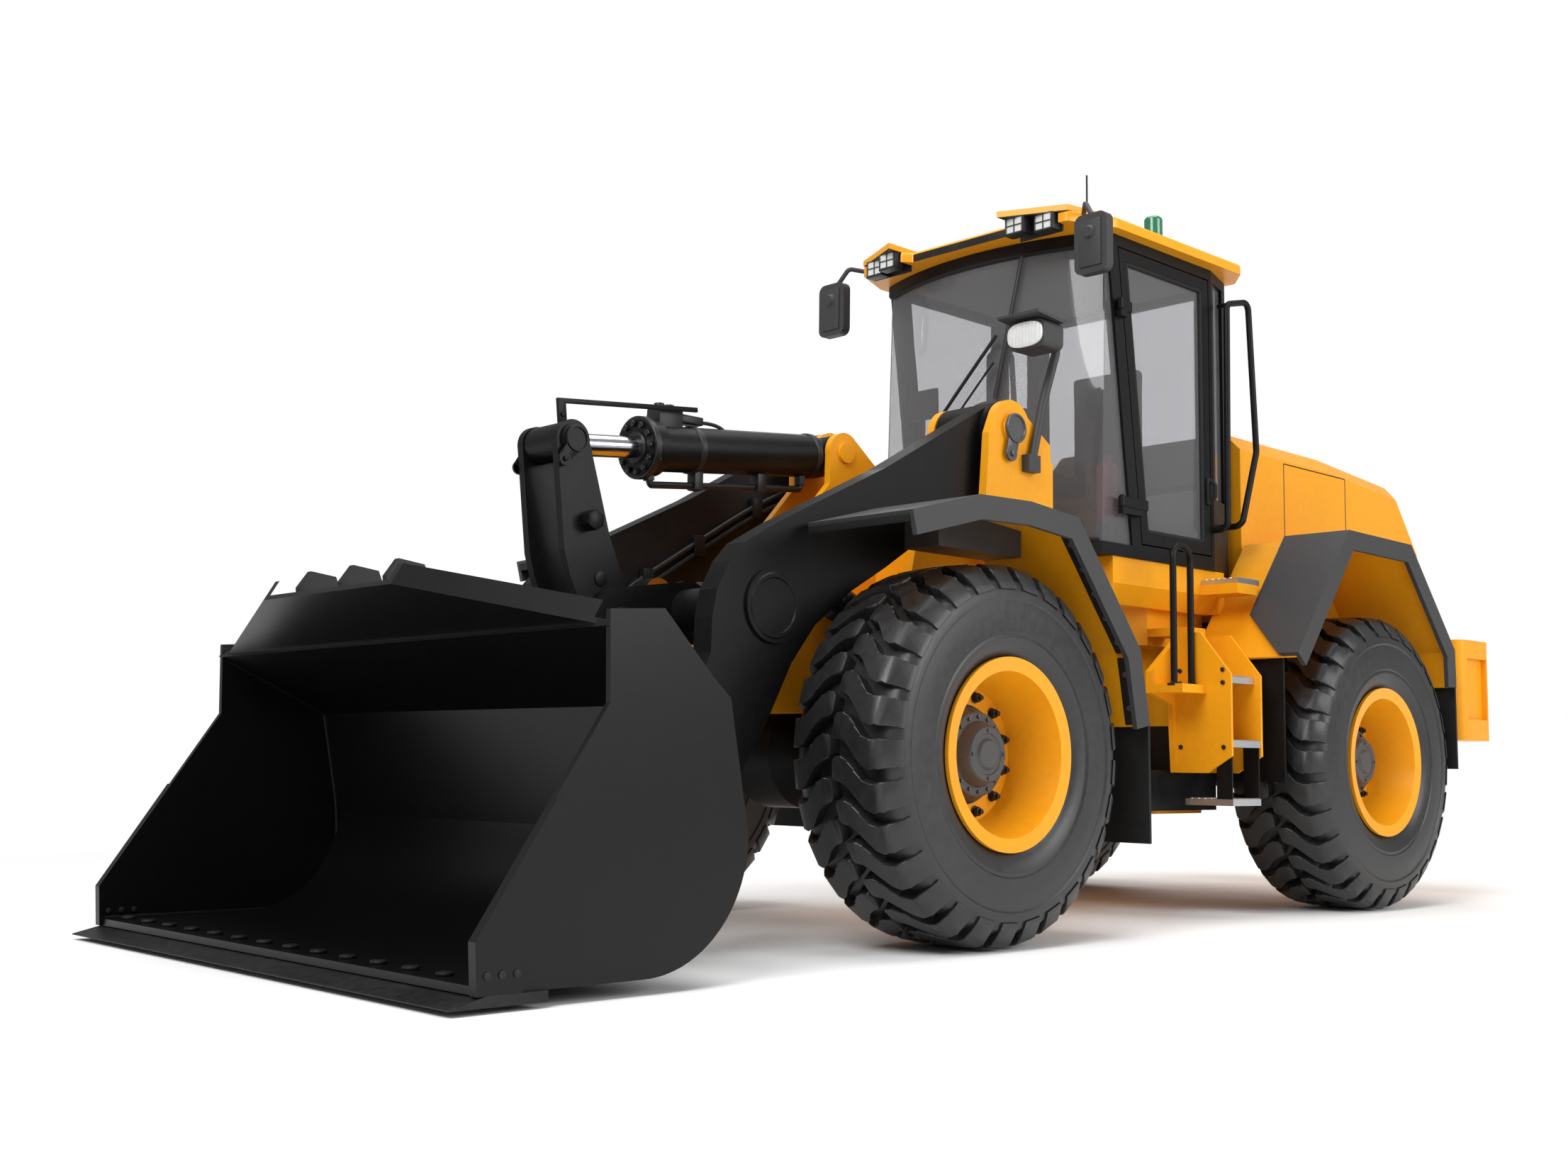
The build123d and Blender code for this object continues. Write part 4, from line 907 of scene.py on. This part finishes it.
@dataclass
class Linkage(Assembly):
    """Fittings of the loading linkage: cylinder glands, pipes, the level bar and the pin keepers.

    Args:
        foot: Pin at the tilt cylinder's foot, as X and Z.
        tip: Pin at its rod's eye.
        gland: Distance of the gland's face from the foot.
        flange: Distance of the flange's back from the gland's face.
        drop: How far below the middle its pipe runs.
    """

    foot: Pair = (0.951, 2.076)
    tip: Pair = (2.445, 1.925)
    gland: float = 1.090
    flange: float = 0.034
    drop: float = 0.150

    def at(self, along: float, up: float, y: float = 0.0) -> Point:
        """A point measured along the tilt cylinder and square to it.

        Args:
            along: Distance from its foot.
            up: Distance above its middle.
            y: Distance to the left.

        Returns:
            The point in the machine's frame.
        """
        way = Vector((self.tip[0] - self.foot[0], 0, self.tip[1] - self.foot[1])).normalized()
        place = Vector((self.foot[0], y, self.foot[1])) + way * along + Vector((-way.z, 0, way.x)) * up
        return tuple(place)

    def barrel(self) -> None:
        """Add the gland's bolts, the bands and the pipe to the tilt cylinder."""
        way = tuple(Vector(self.at(1, 0)) - Vector(self.at(0, 0)))
        back = tuple(-c for c in way)
        face, rear = self.gland, self.gland - self.flange
        gland = Mould("tilt_gland")
        gland.turned(self.at(rear, 0), way, ((0.100, 0.0), (0.126, 0.0), (0.129, 0.003), (0.129, 0.027),
                                             (0.126, 0.030), (0.100, 0.030)), 48)
        gland.turned(self.at(face, 0), way, ((0.0455, 0.0), (0.0455, 0.010), (0.060, 0.010), (0.066, 0.004),
                                             (0.066, 0.0)), 40)
        inner, outer = 0.098, 0.113
        for c, _, s in ring(12, 1.0, 0.0):
            gland.heads([self.at(face, inner * c, inner * s)], way, 0.013, 0.014)
            gland.heads([self.at(rear, outer * c, outer * s)], back, 0.011, 0.010)
        for along in (0.118, 0.80):
            gland.turned(self.at(along, 0), way, ((0.094, -0.016), (0.100, -0.012), (0.100, 0.012),
                                                 (0.094, 0.016)), 48)
        self.fit(gland, "bolt_black", "tilt_cylinder")
        pipes = Mould("tilt_pipes")
        low = -self.drop
        line = ((1.03, -0.100), (1.035, low), (1.0, low), (0.6, low), (0.2, low), (0.165, low), (0.165, -0.088))
        pipes.pipe([self.at(*spot) for spot in line], 0.015)
        square = tuple(Vector(self.at(0, 1)) - Vector(self.at(0, 0)))
        union = ((0.0, -0.02), (0.026, -0.02), (0.026, 0.02), (0.0, 0.02))
        for along in (1.032, 0.165):
            pipes.turned(self.at(along, -0.112), square, union, HEX)
        for along in (0.42, 0.78):
            pipes.box(tuple(Vector(self.at(along, low)) - Vector((0.02, 0.026, 0.02))),
                      tuple(Vector(self.at(along, -0.085)) + Vector((0.02, 0.026, 0.004))), 0.004)
        self.fit(pipes, "bolt_black", "tilt_cylinder")

    def levelling(self) -> None:
        """Add the sensor block on the tilt cylinder, the rod eye's cover and the level bar."""
        block = Mould("level_sensor")
        near, (far, _, top) = self.at(0.865, 0.086)[0], self.at(0.985, 0.17)
        block.box((near, -0.045, top - 0.10), (far, 0.040, top), 0.006)
        block.box((near - 0.12, -0.035, top - 0.045), (near + 0.01, 0.030, top - 0.010), 0.005)
        block.box((near + 0.02, -0.085, top - 0.085), (far - 0.03, -0.040, top - 0.012), 0.006)
        for x in (near + 0.045, far - 0.030):
            block.rod((x, 0.0, top - 0.002), (x, 0.0, top + 0.022), 0.022, 24, 0.004)
        block.heads([(near + 0.02, -0.02, top), (far - 0.02, -0.02, top), (near + 0.02, 0.02, top)], UP, 0.009,
                    0.008)
        cable = ((0.11, 0.0, 0.028), (0.20, 0.01, 0.02), (0.27, 0.02, 0.06), (0.30, 0.02, 0.098))
        block.pipe([(near - back, y, top - down) for back, y, down in cable], 0.008)
        self.fit(block, "bolt_black", "tilt_cylinder")
        cover = Mould("rod_eye_cover")
        cover.turned((self.tip[0], 0.0, self.tip[1]), LEFT, ((0.050, -0.088), (0.0735, -0.088), (0.0735, 0.088),
                                                            (0.050, 0.088)), 56)
        self.fit(cover, "black_paint", "tilt_piston")
        level = Mould("level_bar")
        corners = ((1.478, 0.060), (1.518, 0.060), (1.518, 0.170), (0.80, 0.170), (0.80, 0.150), (1.478, 0.150))
        level.prism([self.at(along, up, 0.052) for along, up in corners], (0, 0.014, 0), 0.003)
        level.heads([self.at(1.498, 0.105, 0.066)], LEFT, 0.011, 0.008)
        self.fit(level, "black_paint", "tilt_piston")

    @staticmethod
    def keeper(mould: Mould, place: Pair, y: float, radius: float, tail: Pair) -> None:
        """Add a pin's end cap with a bolted tail.

        Args:
            mould: The piece that gets it.
            place: X and Z of the pin.
            y: Face that it stands on.
            radius: Radius of the cap.
            tail: X and Z of the tail's bolt from the pin.
        """
        far = Vector((tail[0], 0, tail[1]))
        side = far.cross(Vector(LEFT)).normalized() * radius * 0.52
        near = Vector((place[0], y, place[1]))
        end = near + far
        mould.turned(tuple(near), LEFT, ((0.0, 0.010), (radius * 0.80, 0.010), (radius * 0.84, 0.016),
                                         (radius * 0.96, 0.016), (radius, 0.012), (radius, 0.0)), 48)
        mould.turned(tuple(end), LEFT, ((0.0, 0.012), (radius * 0.50, 0.012), (radius * 0.52, 0.010),
                                        (radius * 0.52, 0.0)), 32)
        corners = (near + side, end + side, end - side, near - side)
        mould.prism([tuple(corner) for corner in corners], (0, 0.0095, 0), 0.002)
        mould.heads([tuple(end + Vector((0, 0.012, 0)))], LEFT, radius * 0.22, 0.010)

    def pins(self) -> None:
        """Add the keepers at the pins and the crank's stop bosses."""
        tower = Mould("tower_keepers")
        self.keeper(tower, (0.535, 2.165), 0.754, 0.066, (0.03, -0.115))
        self.fit(tower, "hub_casting", "front_body", mirrored=True)
        crank = Mould("crank_keepers")
        self.keeper(crank, self.tip, 0.144, 0.052, (0.055, -0.085))
        self.keeper(crank, (1.910, 0.980), 0.142, 0.046, (0.075, 0.030))
        crank.rod((2.366, 0.130, 1.618), (2.366, 0.185, 1.618), 0.042, HEX, 0.005)
        crank.rod((2.30, 0.130, 1.40), (2.30, 0.136, 1.40), 0.03, 24, 0.002)
        self.fit(crank, "black_paint", "crank", mirrored=True)

    def arms(self) -> None:
        """Add the boss rings and pipes of the arms, the bucket's keepers and the lift cylinders' glands."""
        arms = Mould("arm_bosses")
        arms.turned((1.887, 0.672, 1.294), LEFT, ((0.0, 0.002), (0.104, 0.002), (0.108, 0.007), (0.122, 0.007),
                                                  (0.127, 0.002), (0.142, 0.002), (0.143, -0.002)), 72)
        self.keeper(arms, (2.235, 1.237), 0.187, 0.056, (-0.11, 0.01))
        arms.turned((0.535, 0.6925, 2.165), LEFT, ((0.066, 0.0), (0.120, 0.0), (0.124, -0.004), (0.124, -0.03),
                                                   (0.066, -0.03)), 64)
        side, bend = 0.548, 0.535
        for line, (x, z) in (
            (((0.62, 2.02), (0.80, 1.96), (1.30, 1.66), (1.62, 1.47)), (1.70, 1.40)),
            (((0.62, 1.975), (0.80, 1.915), (1.28, 1.625), (1.58, 1.44)), (1.66, 1.37)),
        ):
            arms.pipe([*((a, side, b) for a, b in line), (x, bend, z)], 0.014)
        for x, z in ((0.86, 1.905), (1.22, 1.69), (1.52, 1.51)):
            arms.box((x - 0.03, 0.528, z - 0.05), (x + 0.03, 0.561, z + 0.05), 0.006)
        self.fit(arms, "black_paint", "arms", mirrored=True)
        bucket = Mould("bucket_keepers")
        self.keeper(bucket, (2.385, 0.365), 0.755, 0.050, (0.02, 0.085))
        self.fit(bucket, "black_paint", "bucket_body", mirrored=True)
        lift = Mould("lift_glands")
        way = Vector((1.350, 0, 0.530)).normalized()
        mouth = Vector((1.545, 0.480, 1.430)) - way * 0.190
        sleeve = ((0.060, 0.0), (0.074, 0.003), (0.074, 0.058), (0.066, 0.066), (0.040, 0.066), (0.040, 0.058),
                  (0.060, 0.058))
        lift.turned(tuple(mouth - way * 0.07), tuple(way), sleeve, 40)
        self.fit(lift, "bolt_black", "lift_cylinders", mirrored=True)

    def build(self) -> None:
        """Add every fitting of the linkage."""
        self.barrel()
        self.levelling()
        self.pins()
        self.arms()


@dataclass
class Cab(Assembly):
    """Fittings of the cab: lining, wiper, seals, handles, mirrors, lamps and instruments.

    Args:
        half: Half of the cab's width.
        low: Height of its floor.
        high: Height of its roof.
        nose: X of the middle of the windscreen at the floor.
        lean: How far the windscreen goes back for each metre up.
        sag: How far it goes back from its middle to its sides.
        roof_lamps: X of the face and Y of the middle of each lamp on the left.
        lamp_low: Height of the roof lamps' lower edge.
        lamp_top: Height of their upper edge.
        headlamp: Y and Z of the middle of the headlamp's lens.
    """

    half: float = 0.700
    low: float = 1.690
    high: float = 3.245
    nose: float = -0.035
    lean: float = 0.0322
    sag: float = 0.150
    roof_lamps: Sequence[Pair] = ((0.100, 0.410), (0.050, 0.543))
    lamp_low: float = 3.217
    lamp_top: float = 3.297
    headlamp: Pair = (0.80, 2.578)

    def screen(self, y: float, z: float, out: float) -> Point:
        """A point in front of the windscreen.

        Args:
            y: Distance to the left.
            z: Height.
            out: Distance in front of the cab's outline.

        Returns:
            The point in the machine's frame.
        """
        return (self.nose - self.lean * (z - self.low) - self.sag * (y / self.half) ** 2 + out, y, z)

    def outside(self) -> None:
        """Add the wiper, the seals, the door's fittings and the mirrors' panes and shells."""
        wiper = Mould("wiper")
        wiper.rod(self.screen(-0.36, 2.24, -0.02), self.screen(-0.36, 2.24, 0.045), 0.026, 24, 0.004)
        for radius, line in (
            (0.009, ((-0.36, 2.24, 0.034), (-0.19, 2.41, 0.036), (0.18, 2.79, 0.030))),
            (0.006, ((-0.27, 2.21, 0.030), (-0.10, 2.38, 0.032), (0.165, 2.66, 0.026))),
            (0.010, ((0.165, 2.48, 0.012), (0.235, 2.80, 0.020), (0.30, 3.17, 0.012))),
        ):
            wiper.pipe([self.screen(*spot) for spot in line], radius)
        wiper.box(self.screen(-0.41, 2.20, -0.03), self.screen(-0.27, 2.28, 0.012), 0.01)
        self.fit(wiper, "bolt_black", "rear_body")
        seal = Mould("screen_seal")
        for z in (self.low + 0.066, self.high - 0.060):
            seal.pipe([self.screen(y, z, -0.006) for y in (-0.68, -0.5, -0.25, 0.0, 0.25, 0.5, 0.68)], 0.012)
        self.fit(seal, "flap_rubber", "rear_body")
        door = Mould("door_fittings")
        door.box((-1.112, 0.699, 2.02), (-1.070, 0.716, 2.16), 0.008)
        grip = ((0.716, 2.04), (0.745, 2.05), (0.745, 2.09), (0.745, 2.13), (0.716, 2.14))
        door.pipe([(-1.091, y, z) for y, z in grip], 0.009)
        pane = ((-1.050, 1.830), (-0.558, 1.830), (-0.400, 3.120), (-1.050, 3.120))
        corners = [(x, 0.690, z) for x, z in pane]
        for start, end in zip(corners, [*corners[1:], corners[0]]):
            door.rod(start, end, 0.012, 10)
        self.fit(door, "flap_rubber", "cab_door")
        panes = Mould("mirror_panes")
        panes.box((0.0215, 0.756, 2.963), (0.0265, 0.904, 3.207), 0.002)
        self.fit(panes, "mirror_pane", "rear_body", mirrored=True)
        shells = Mould("mirror_shells")
        shells.box((0.0735, 0.77, 2.975), (0.0835, 0.89, 3.195), 0.004)
        shells.turned((0.080, 0.83, 3.135), AHEAD, ((0.0, 0.018), (0.022, 0.018), (0.030, 0.010),
                                                    (0.036, 0.0)), 24)
        self.fit(shells, "fender_plastic", "rear_body", mirrored=True)

    def inside(self) -> None:
        """Add the roof lining, the floor mat with the console, the instruments and the extinguisher."""
        lining = Mould("roof_lining")
        lining.box((-1.30, -0.60, 3.205), (-0.27, 0.60, 3.241), 0.02)
        lining.box((-1.345, -0.55, 1.74), (-1.325, 0.55, 2.15), 0.006)
        self.fit(lining, "roof_lining", "rear_body")
        mat = Mould("floor_mat")
        mat.box((-1.30, -0.60, 1.731), (-0.20, 0.60, 1.745), 0.004)
        mat.box((-1.25, -0.52, 1.745), (-0.62, -0.30, 2.32), 0.02)
        mat.box((-1.10, -0.50, 2.32), (-0.70, -0.32, 2.36), 0.015)
        knob = ((0.0, 0.04), (0.014, 0.034), (0.020, 0.016), (0.012, 0.0), (0.0, 0.0))
        for x, y in ((-0.80, -0.37), (-0.80, -0.44), (-0.90, -0.41)):
            top = (x + 0.01, y, 2.44)
            mat.rod((x, y, 2.35), top, 0.010, 12)
            mat.turned(top, UP, knob, 20)
        self.fit(mat, "fender_plastic", "rear_body")
        dash = Mould("dash_panel")
        panel = ((-0.385, 2.33), (-0.285, 2.33), (-0.285, 2.47), (-0.325, 2.48))
        dash.prism([(x, -0.16, z) for x, z in panel], (0, 0.32, 0), 0.012)
        dash.box((-0.30, -0.60, 2.50), (-0.275, -0.40, 2.66), 0.008)
        dash.rod((-0.285, -0.50, 1.76), (-0.285, -0.50, 2.52), 0.014, 16)
        dash.box((-0.546, 0.46, 1.745), (-0.466, 0.54, 1.886), 0.006)
        self.fit(dash, "bolt_black", "rear_body")
        red = Mould("extinguisher")
        bottle = ((0.0, 0.0), (0.048, 0.0), (0.052, 0.006), (0.052, 0.25), (0.042, 0.29), (0.020, 0.305),
                  (0.020, 0.337), (0.0, 0.337))
        red.turned((-0.506, 0.50, 1.885), UP, bottle, 32)
        self.fit(red, "extinguisher_red", "rear_body")

    def header(self) -> None:
        """Add the dark header under the roof's front with the roof lamps' cases."""
        header = Mould("roof_header")
        header.box((0.012, 0.0, 3.246), (0.019, 0.302, 3.284), 0.002)
        header.box((-0.026, 0.352, 3.214), (-0.020, 0.606, 3.2965), 0.001)
        lid = ((0.148, 0.353), (0.014, 0.646), (-0.022, 0.646), (-0.022, 0.353))
        header.prism([(x, y, 3.2935) for x, y in lid], (0, 0, 0.0033), 0.0)
        under = self.lamp_low - 0.005
        for face, y in self.roof_lamps:
            back, front = face - 0.060, face + 0.001
            header.box((back, y - 0.055, under), (front, y + 0.055, self.lamp_low), 0.001)
            for edge in (y - 0.055, y + 0.050):
                header.box((back, edge, under), (front, edge + 0.005, 3.2965), 0.001)
        self.fit(header, "bolt_black", "rear_body", mirrored=True)

    def lamps(self) -> None:
        """Add the bezels of the roof lamps and the headlamp's lens."""
        bezel = Mould("roof_lamp_bezels")
        low, top, wide, bar = self.lamp_low, self.lamp_top, 0.050, 0.006
        mid = (low + top) / 2
        bars = (
            (-wide, wide, low, low + bar), (-wide, wide, top - bar, top), (-wide, bar - wide, low, top),
            (wide - bar, wide, low, top), (-bar / 2, bar / 2, low, top),
            (-wide, wide, mid - bar / 2, mid + bar / 2),
        )
        for face, y in self.roof_lamps:
            for y_low, y_high, z_low, z_high in bars:
                bezel.box((face - 0.004, y + y_low, z_low), (face + 0.005, y + y_high, z_high), 0.0015)
        self.fit(bezel, "hub_casting", "rear_body", mirrored=True)
        lens = Mould("headlamp_lens")
        mid_y, mid_z = self.headlamp
        half_wide, half_high, bulge = 0.094, 0.056, 0.7
        outline = []
        for c, _, s in ring(40, 1.0, 0.0):
            across, rise = (math.copysign(abs(part) ** bulge, part) for part in (c, s))
            outline.append((0.513, mid_y + across * half_wide, mid_z + rise * half_high))
        lens.prism(outline, (0.014, 0, 0), 0.004)
        for n in range(9):
            y = 0.728 + n * 0.018
            reach = 0.046 if abs(y - mid_y) < 0.06 else 0.036
            lens.rod((0.527, y, mid_z - reach), (0.527, y, mid_z + reach), 0.004, 8)
        self.fit(lens, "lamp_glass", "front_body")

    def build(self) -> None:
        """Add every fitting of the cab."""
        self.outside()
        self.inside()
        self.header()
        self.lamps()


@dataclass
class Seat(Assembly):
    """The operator's seat: two padded cushions on a sprung pedestal.

    Args:
        voxel: Cell of the cushions' mesh.
        swell: Furthest that a cushion's cover may move out.
        pressure: How hard a cushion is blown up.
        frames: Length of the blowing up.
    """

    voxel: float = 0.010
    swell: float = 0.012
    pressure: float = 4.0
    frames: int = 20

    def cushion(self, name: str, low: Point, high: Point) -> None:
        """Blow up one cushion from a block.

        Args:
            name: Name of the piece.
            low: Lowest corner of the block.
            high: Highest corner.
        """
        mould = Mould(name)
        mould.box(low, high, 0.028)
        piece = self.fit(mould, "seat_cloth", "rear_body")
        bpy.context.view_layer.objects.active = piece
        cells = piece.modifiers.new("cells", "REMESH")
        cells.mode = "VOXEL"
        cells.voxel_size = self.voxel
        bpy.ops.object.modifier_apply(modifier=cells.name)
        before = [v.co.copy() for v in piece.data.vertices]
        cloth = piece.modifiers.new("cover", "CLOTH")
        cloth.settings.use_pressure = True
        cloth.settings.uniform_pressure_force = self.pressure
        cloth.settings.effector_weights.gravity = 0.0
        for number in range(1, self.frames + 1):
            bpy.context.scene.frame_set(number)
        bpy.ops.object.modifier_apply(modifier=cloth.name)
        bpy.context.scene.frame_set(1)
        for vert, rest in zip(piece.data.vertices, before):
            move = vert.co - rest
            if move.length > self.swell:
                vert.co = rest + move.normalized() * self.swell
        piece.data.polygons.foreach_set("use_smooth", [True] * len(piece.data.polygons))
        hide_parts("seat")

    def build(self) -> None:
        """Make the two cushions and the pedestal."""
        self.cushion("seat_cushion", (-1.225, -0.225, 2.115), (-0.820, 0.225, 2.205))
        self.cushion("seat_back", (-1.272, -0.215, 2.235), (-1.185, 0.215, 2.835))
        stand = Mould("seat_pedestal")
        stand.box((-1.185, -0.180, 1.731), (-0.865, 0.180, 1.80), 0.01)
        for n in range(6):
            low, step = 1.80 + n * 0.045, 0.01 * (n % 2)
            stand.box((-1.165 + step, -0.165, low), (-0.885 - step, 0.165, low + 0.042), 0.014)
        stand.box((-1.235, -0.215, 2.068), (-0.825, 0.215, 2.105), 0.01)
        stand.box((-1.292, -0.12, 2.10), (-1.270, 0.12, 2.70), 0.008)
        piece = self.fit(stand, "fender_plastic", "rear_body")
        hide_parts("seat")


@dataclass
class Fenders(Assembly):
    """Bolted rubber strips along the fenders, and the nosing of the front pair.

    Args:
        lip: Y of the fender lip's inner face.
        width: Width of a strip.
        liner: Thickness of the liner under the fender's sheet.
        thick: Thickness of a strip.
        pitch: Distance between bolts.
        front: X and Z of the front fender's under face, walked with the wheel on the left.
        rear: The same of the rear fender.
        nosing: Distance ahead of the front fender's end and height above its sheet, round the nosing.
    """

    lip: float = 1.218
    width: float = 0.070
    liner: float = 0.010
    thick: float = 0.012
    pitch: float = 0.115
    front: Sequence[Pair] = ((0.747, 1.680), (0.333, 1.181), (0.271, 0.873))
    rear: Sequence[Pair] = ((-1.005, 1.237), (-1.517, 1.865))
    nosing: Sequence[Pair] = ((-0.10, -0.0115), (-0.001, -0.0115), (-0.001, 0.012), (0.007, 0.012),
                              (0.007, -0.018), (-0.10, -0.018))

    def strip(self, name: str, line: Sequence[Pair], body: str) -> None:
        """Lay a bolted strip under one fender pair.

        Args:
            name: Name of the piece.
            line: X and Z of the fender's under face.
            body: Body that it rides on.
        """
        rubber, bolts = Mould(name), Mould(f"{name}_bolts")
        depth = self.liner + self.thick
        for start, end in zip(line, line[1:]):
            a, b = Vector((start[0], 0, start[1])), Vector((end[0], 0, end[1]))
            way = (b - a).normalized()
            under = Vector((-way.z, 0, way.x))
            a, b = a + way * 0.02, b - way * 0.01
            corners = [a + under * self.liner, b + under * self.liner, b + under * depth, a + under * depth]
            shift = (0, self.width - 0.002, 0)
            rubber.prism([(c.x, self.lip - self.width, c.z) for c in corners], shift, 0.003)
            count = max(2, int((b - a).length / self.pitch))
            spots = [a + (b - a) * ((n + 0.5) / count) + under * depth for n in range(count)]
            bolts.heads([(s.x, self.lip - self.width / 2, s.z) for s in spots], tuple(under), 0.014, 0.009)
        self.fit(rubber, "flap_rubber", body, mirrored=True)
        self.fit(bolts, "hub_casting", body, mirrored=True)

    def build(self) -> None:
        """Lay the strips and add the nosing."""
        self.strip("front_fender_strip", self.front, "front_body")
        self.strip("rear_fender_strip", self.rear, "rear_body")
        nose = Mould("fender_noses")
        inner, length = 0.700, 0.519
        tip, way, up = Vector((1.734, 0, 1.600)), Vector((0.967, 0, -0.253)), Vector((0.253, 0, 0.967))
        corners = [tip + way * ahead + up * rise for ahead, rise in self.nosing]
        nose.prism([(c.x, inner, c.z) for c in corners], (0, length, 0), 0.002)
        self.fit(nose, "flap_rubber", "front_body", mirrored=True)


@dataclass
class Access(Assembly):
    """Grip studs of the treads and the bolts of the ladders and rails.

    Args:
        ladder: X span of the ladder's treads.
        steps: Y span and height of each of them.
        deck_step: X span, Y span and height of the tread beside the deck.
        pitch: Distance between studs.
        stud: Height of a stud.
        rail_feet: X and Z of the handrail's ends.
    """

    ladder: Pair = (-0.895, -0.650)
    steps: Sequence[Triple] = ((0.830, 1.085, 0.560), (0.790, 1.088, 0.830), (0.790, 1.060, 1.130))
    deck_step: Sequence[float] = (-1.235, -1.035, 0.690, 0.895, 1.635)
    pitch: float = 0.034
    stud: float = 0.004
    rail_feet: Sequence[Pair] = ((-0.605, 1.10), (-0.460, 1.10))

    def build(self) -> None:
        """Add the studs, the nosing ribs and the bolts."""
        grip = Mould("tread_studs")
        treads = [*((*self.ladder, *step) for step in self.steps), self.deck_step]
        for x_low, x_high, y_low, y_high, top in treads:
            across = int((x_high - x_low - 0.03) / self.pitch)
            along = int((y_high - y_low - 0.05) / self.pitch)
            for i in range(across + 1):
                for j in range(along + 1):
                    x, y = x_low + 0.018 + i * self.pitch, y_low + 0.02 + j * self.pitch
                    grip.rod((x, y, top), (x, y, top + self.stud), 0.009, 8)
            rib = y_high - 0.008
            grip.rod((x_low + 0.004, rib, top), (x_high - 0.004, rib, top), 0.006, 8)
        self.fit(grip, "tread_aluminium", "rear_body", mirrored=True)
        bolts = Mould("ladder_bolts")
        for x, z in self.rail_feet:
            top = z - 0.006
            bolts.box((x - 0.028, 0.880, z - 0.018), (x + 0.028, 0.920, top), 0.003)
            bolts.heads([(x + 0.02, 0.90, top), (x - 0.02, 0.90, top)], UP, 0.007, 0.007)
        bolts.heads([(-0.635, y, z) for y in (0.82, 1.05) for z in (0.80, 1.10, 1.16)], AHEAD, 0.012, 0.008)
        self.fit(bolts, "bolt_black", "rear_body", mirrored=True)


@dataclass
class Tail(Assembly):
    """Fittings of the bonnet and the counterweight.

    Args:
        side: Y of the bonnet's side.
        vent_low: Height of the lowest vent.
        vent_pitch: Distance between vents.
        vent_count: Vents on each side.
        panel: X of the side panel's two seams.
        panel_top: Height of its upper seam.
        seam: Half of a seam's width.
    """

    side: float = 0.620
    vent_low: float = 1.62
    vent_pitch: float = 0.062
    vent_count: int = 7
    panel: Pair = (-2.66, -1.98)
    panel_top: float = 2.36
    seam: float = 0.003

    def build(self) -> None:
        """Add the vents, seams, latches, reflectors and the blank plate."""
        dark = Mould("bonnet_vents")
        back, flush = self.side - 0.004, self.side + 0.0015
        for n in range(self.vent_count):
            z = self.vent_low + n * self.vent_pitch
            dark.box((-3.28, back, z), (-2.72, self.side + 0.003, z + 0.030), 0.002)
        top, seam = self.panel_top, self.seam
        for x in self.panel:
            dark.box((x - seam, back, 1.49), (x + seam, flush, top), 0.001)
        dark.box((self.panel[0], back, top - seam), (self.panel[1], flush, top + seam), 0.001)
        for x in (-2.58, -2.06):
            dark.box((x - 0.045, back, 1.56), (x + 0.045, self.side + 0.010, 1.60), 0.005)
        self.fit(dark, "bolt_black", "bonnet_lid", mirrored=True)
        red = Mould("weight_reflectors")
        red.box((-3.688, 0.62, 1.20), (-3.682, 0.78, 1.25), 0.002)
        self.fit(red, "red_lens", "rear_body", mirrored=True)
        plate = Mould("blank_plate")
        plate.box((-3.690, -0.62, 1.20), (-3.683, -0.30, 1.31), 0.002)
        plate.heads([(-3.690, y, 1.255) for y in (-0.60, -0.32)], (-1, 0, 0), 0.006, 0.003)
        self.fit(plate, "plate_white", "rear_body")


def main() -> None:
    """Build the stage, dress the solids and add the fittings."""
    logging.basicConfig(level=logging.INFO, format="%(message)s")
    kit = ShaderKit()
    Stage().build()
    Paintwork(kit).dress()
    for assembly in (Wheels, Bucket, Linkage, Cab, Seat, Fenders, Access, Tail):
        assembly(kit).build()


if __name__ == "__main__":
    main()
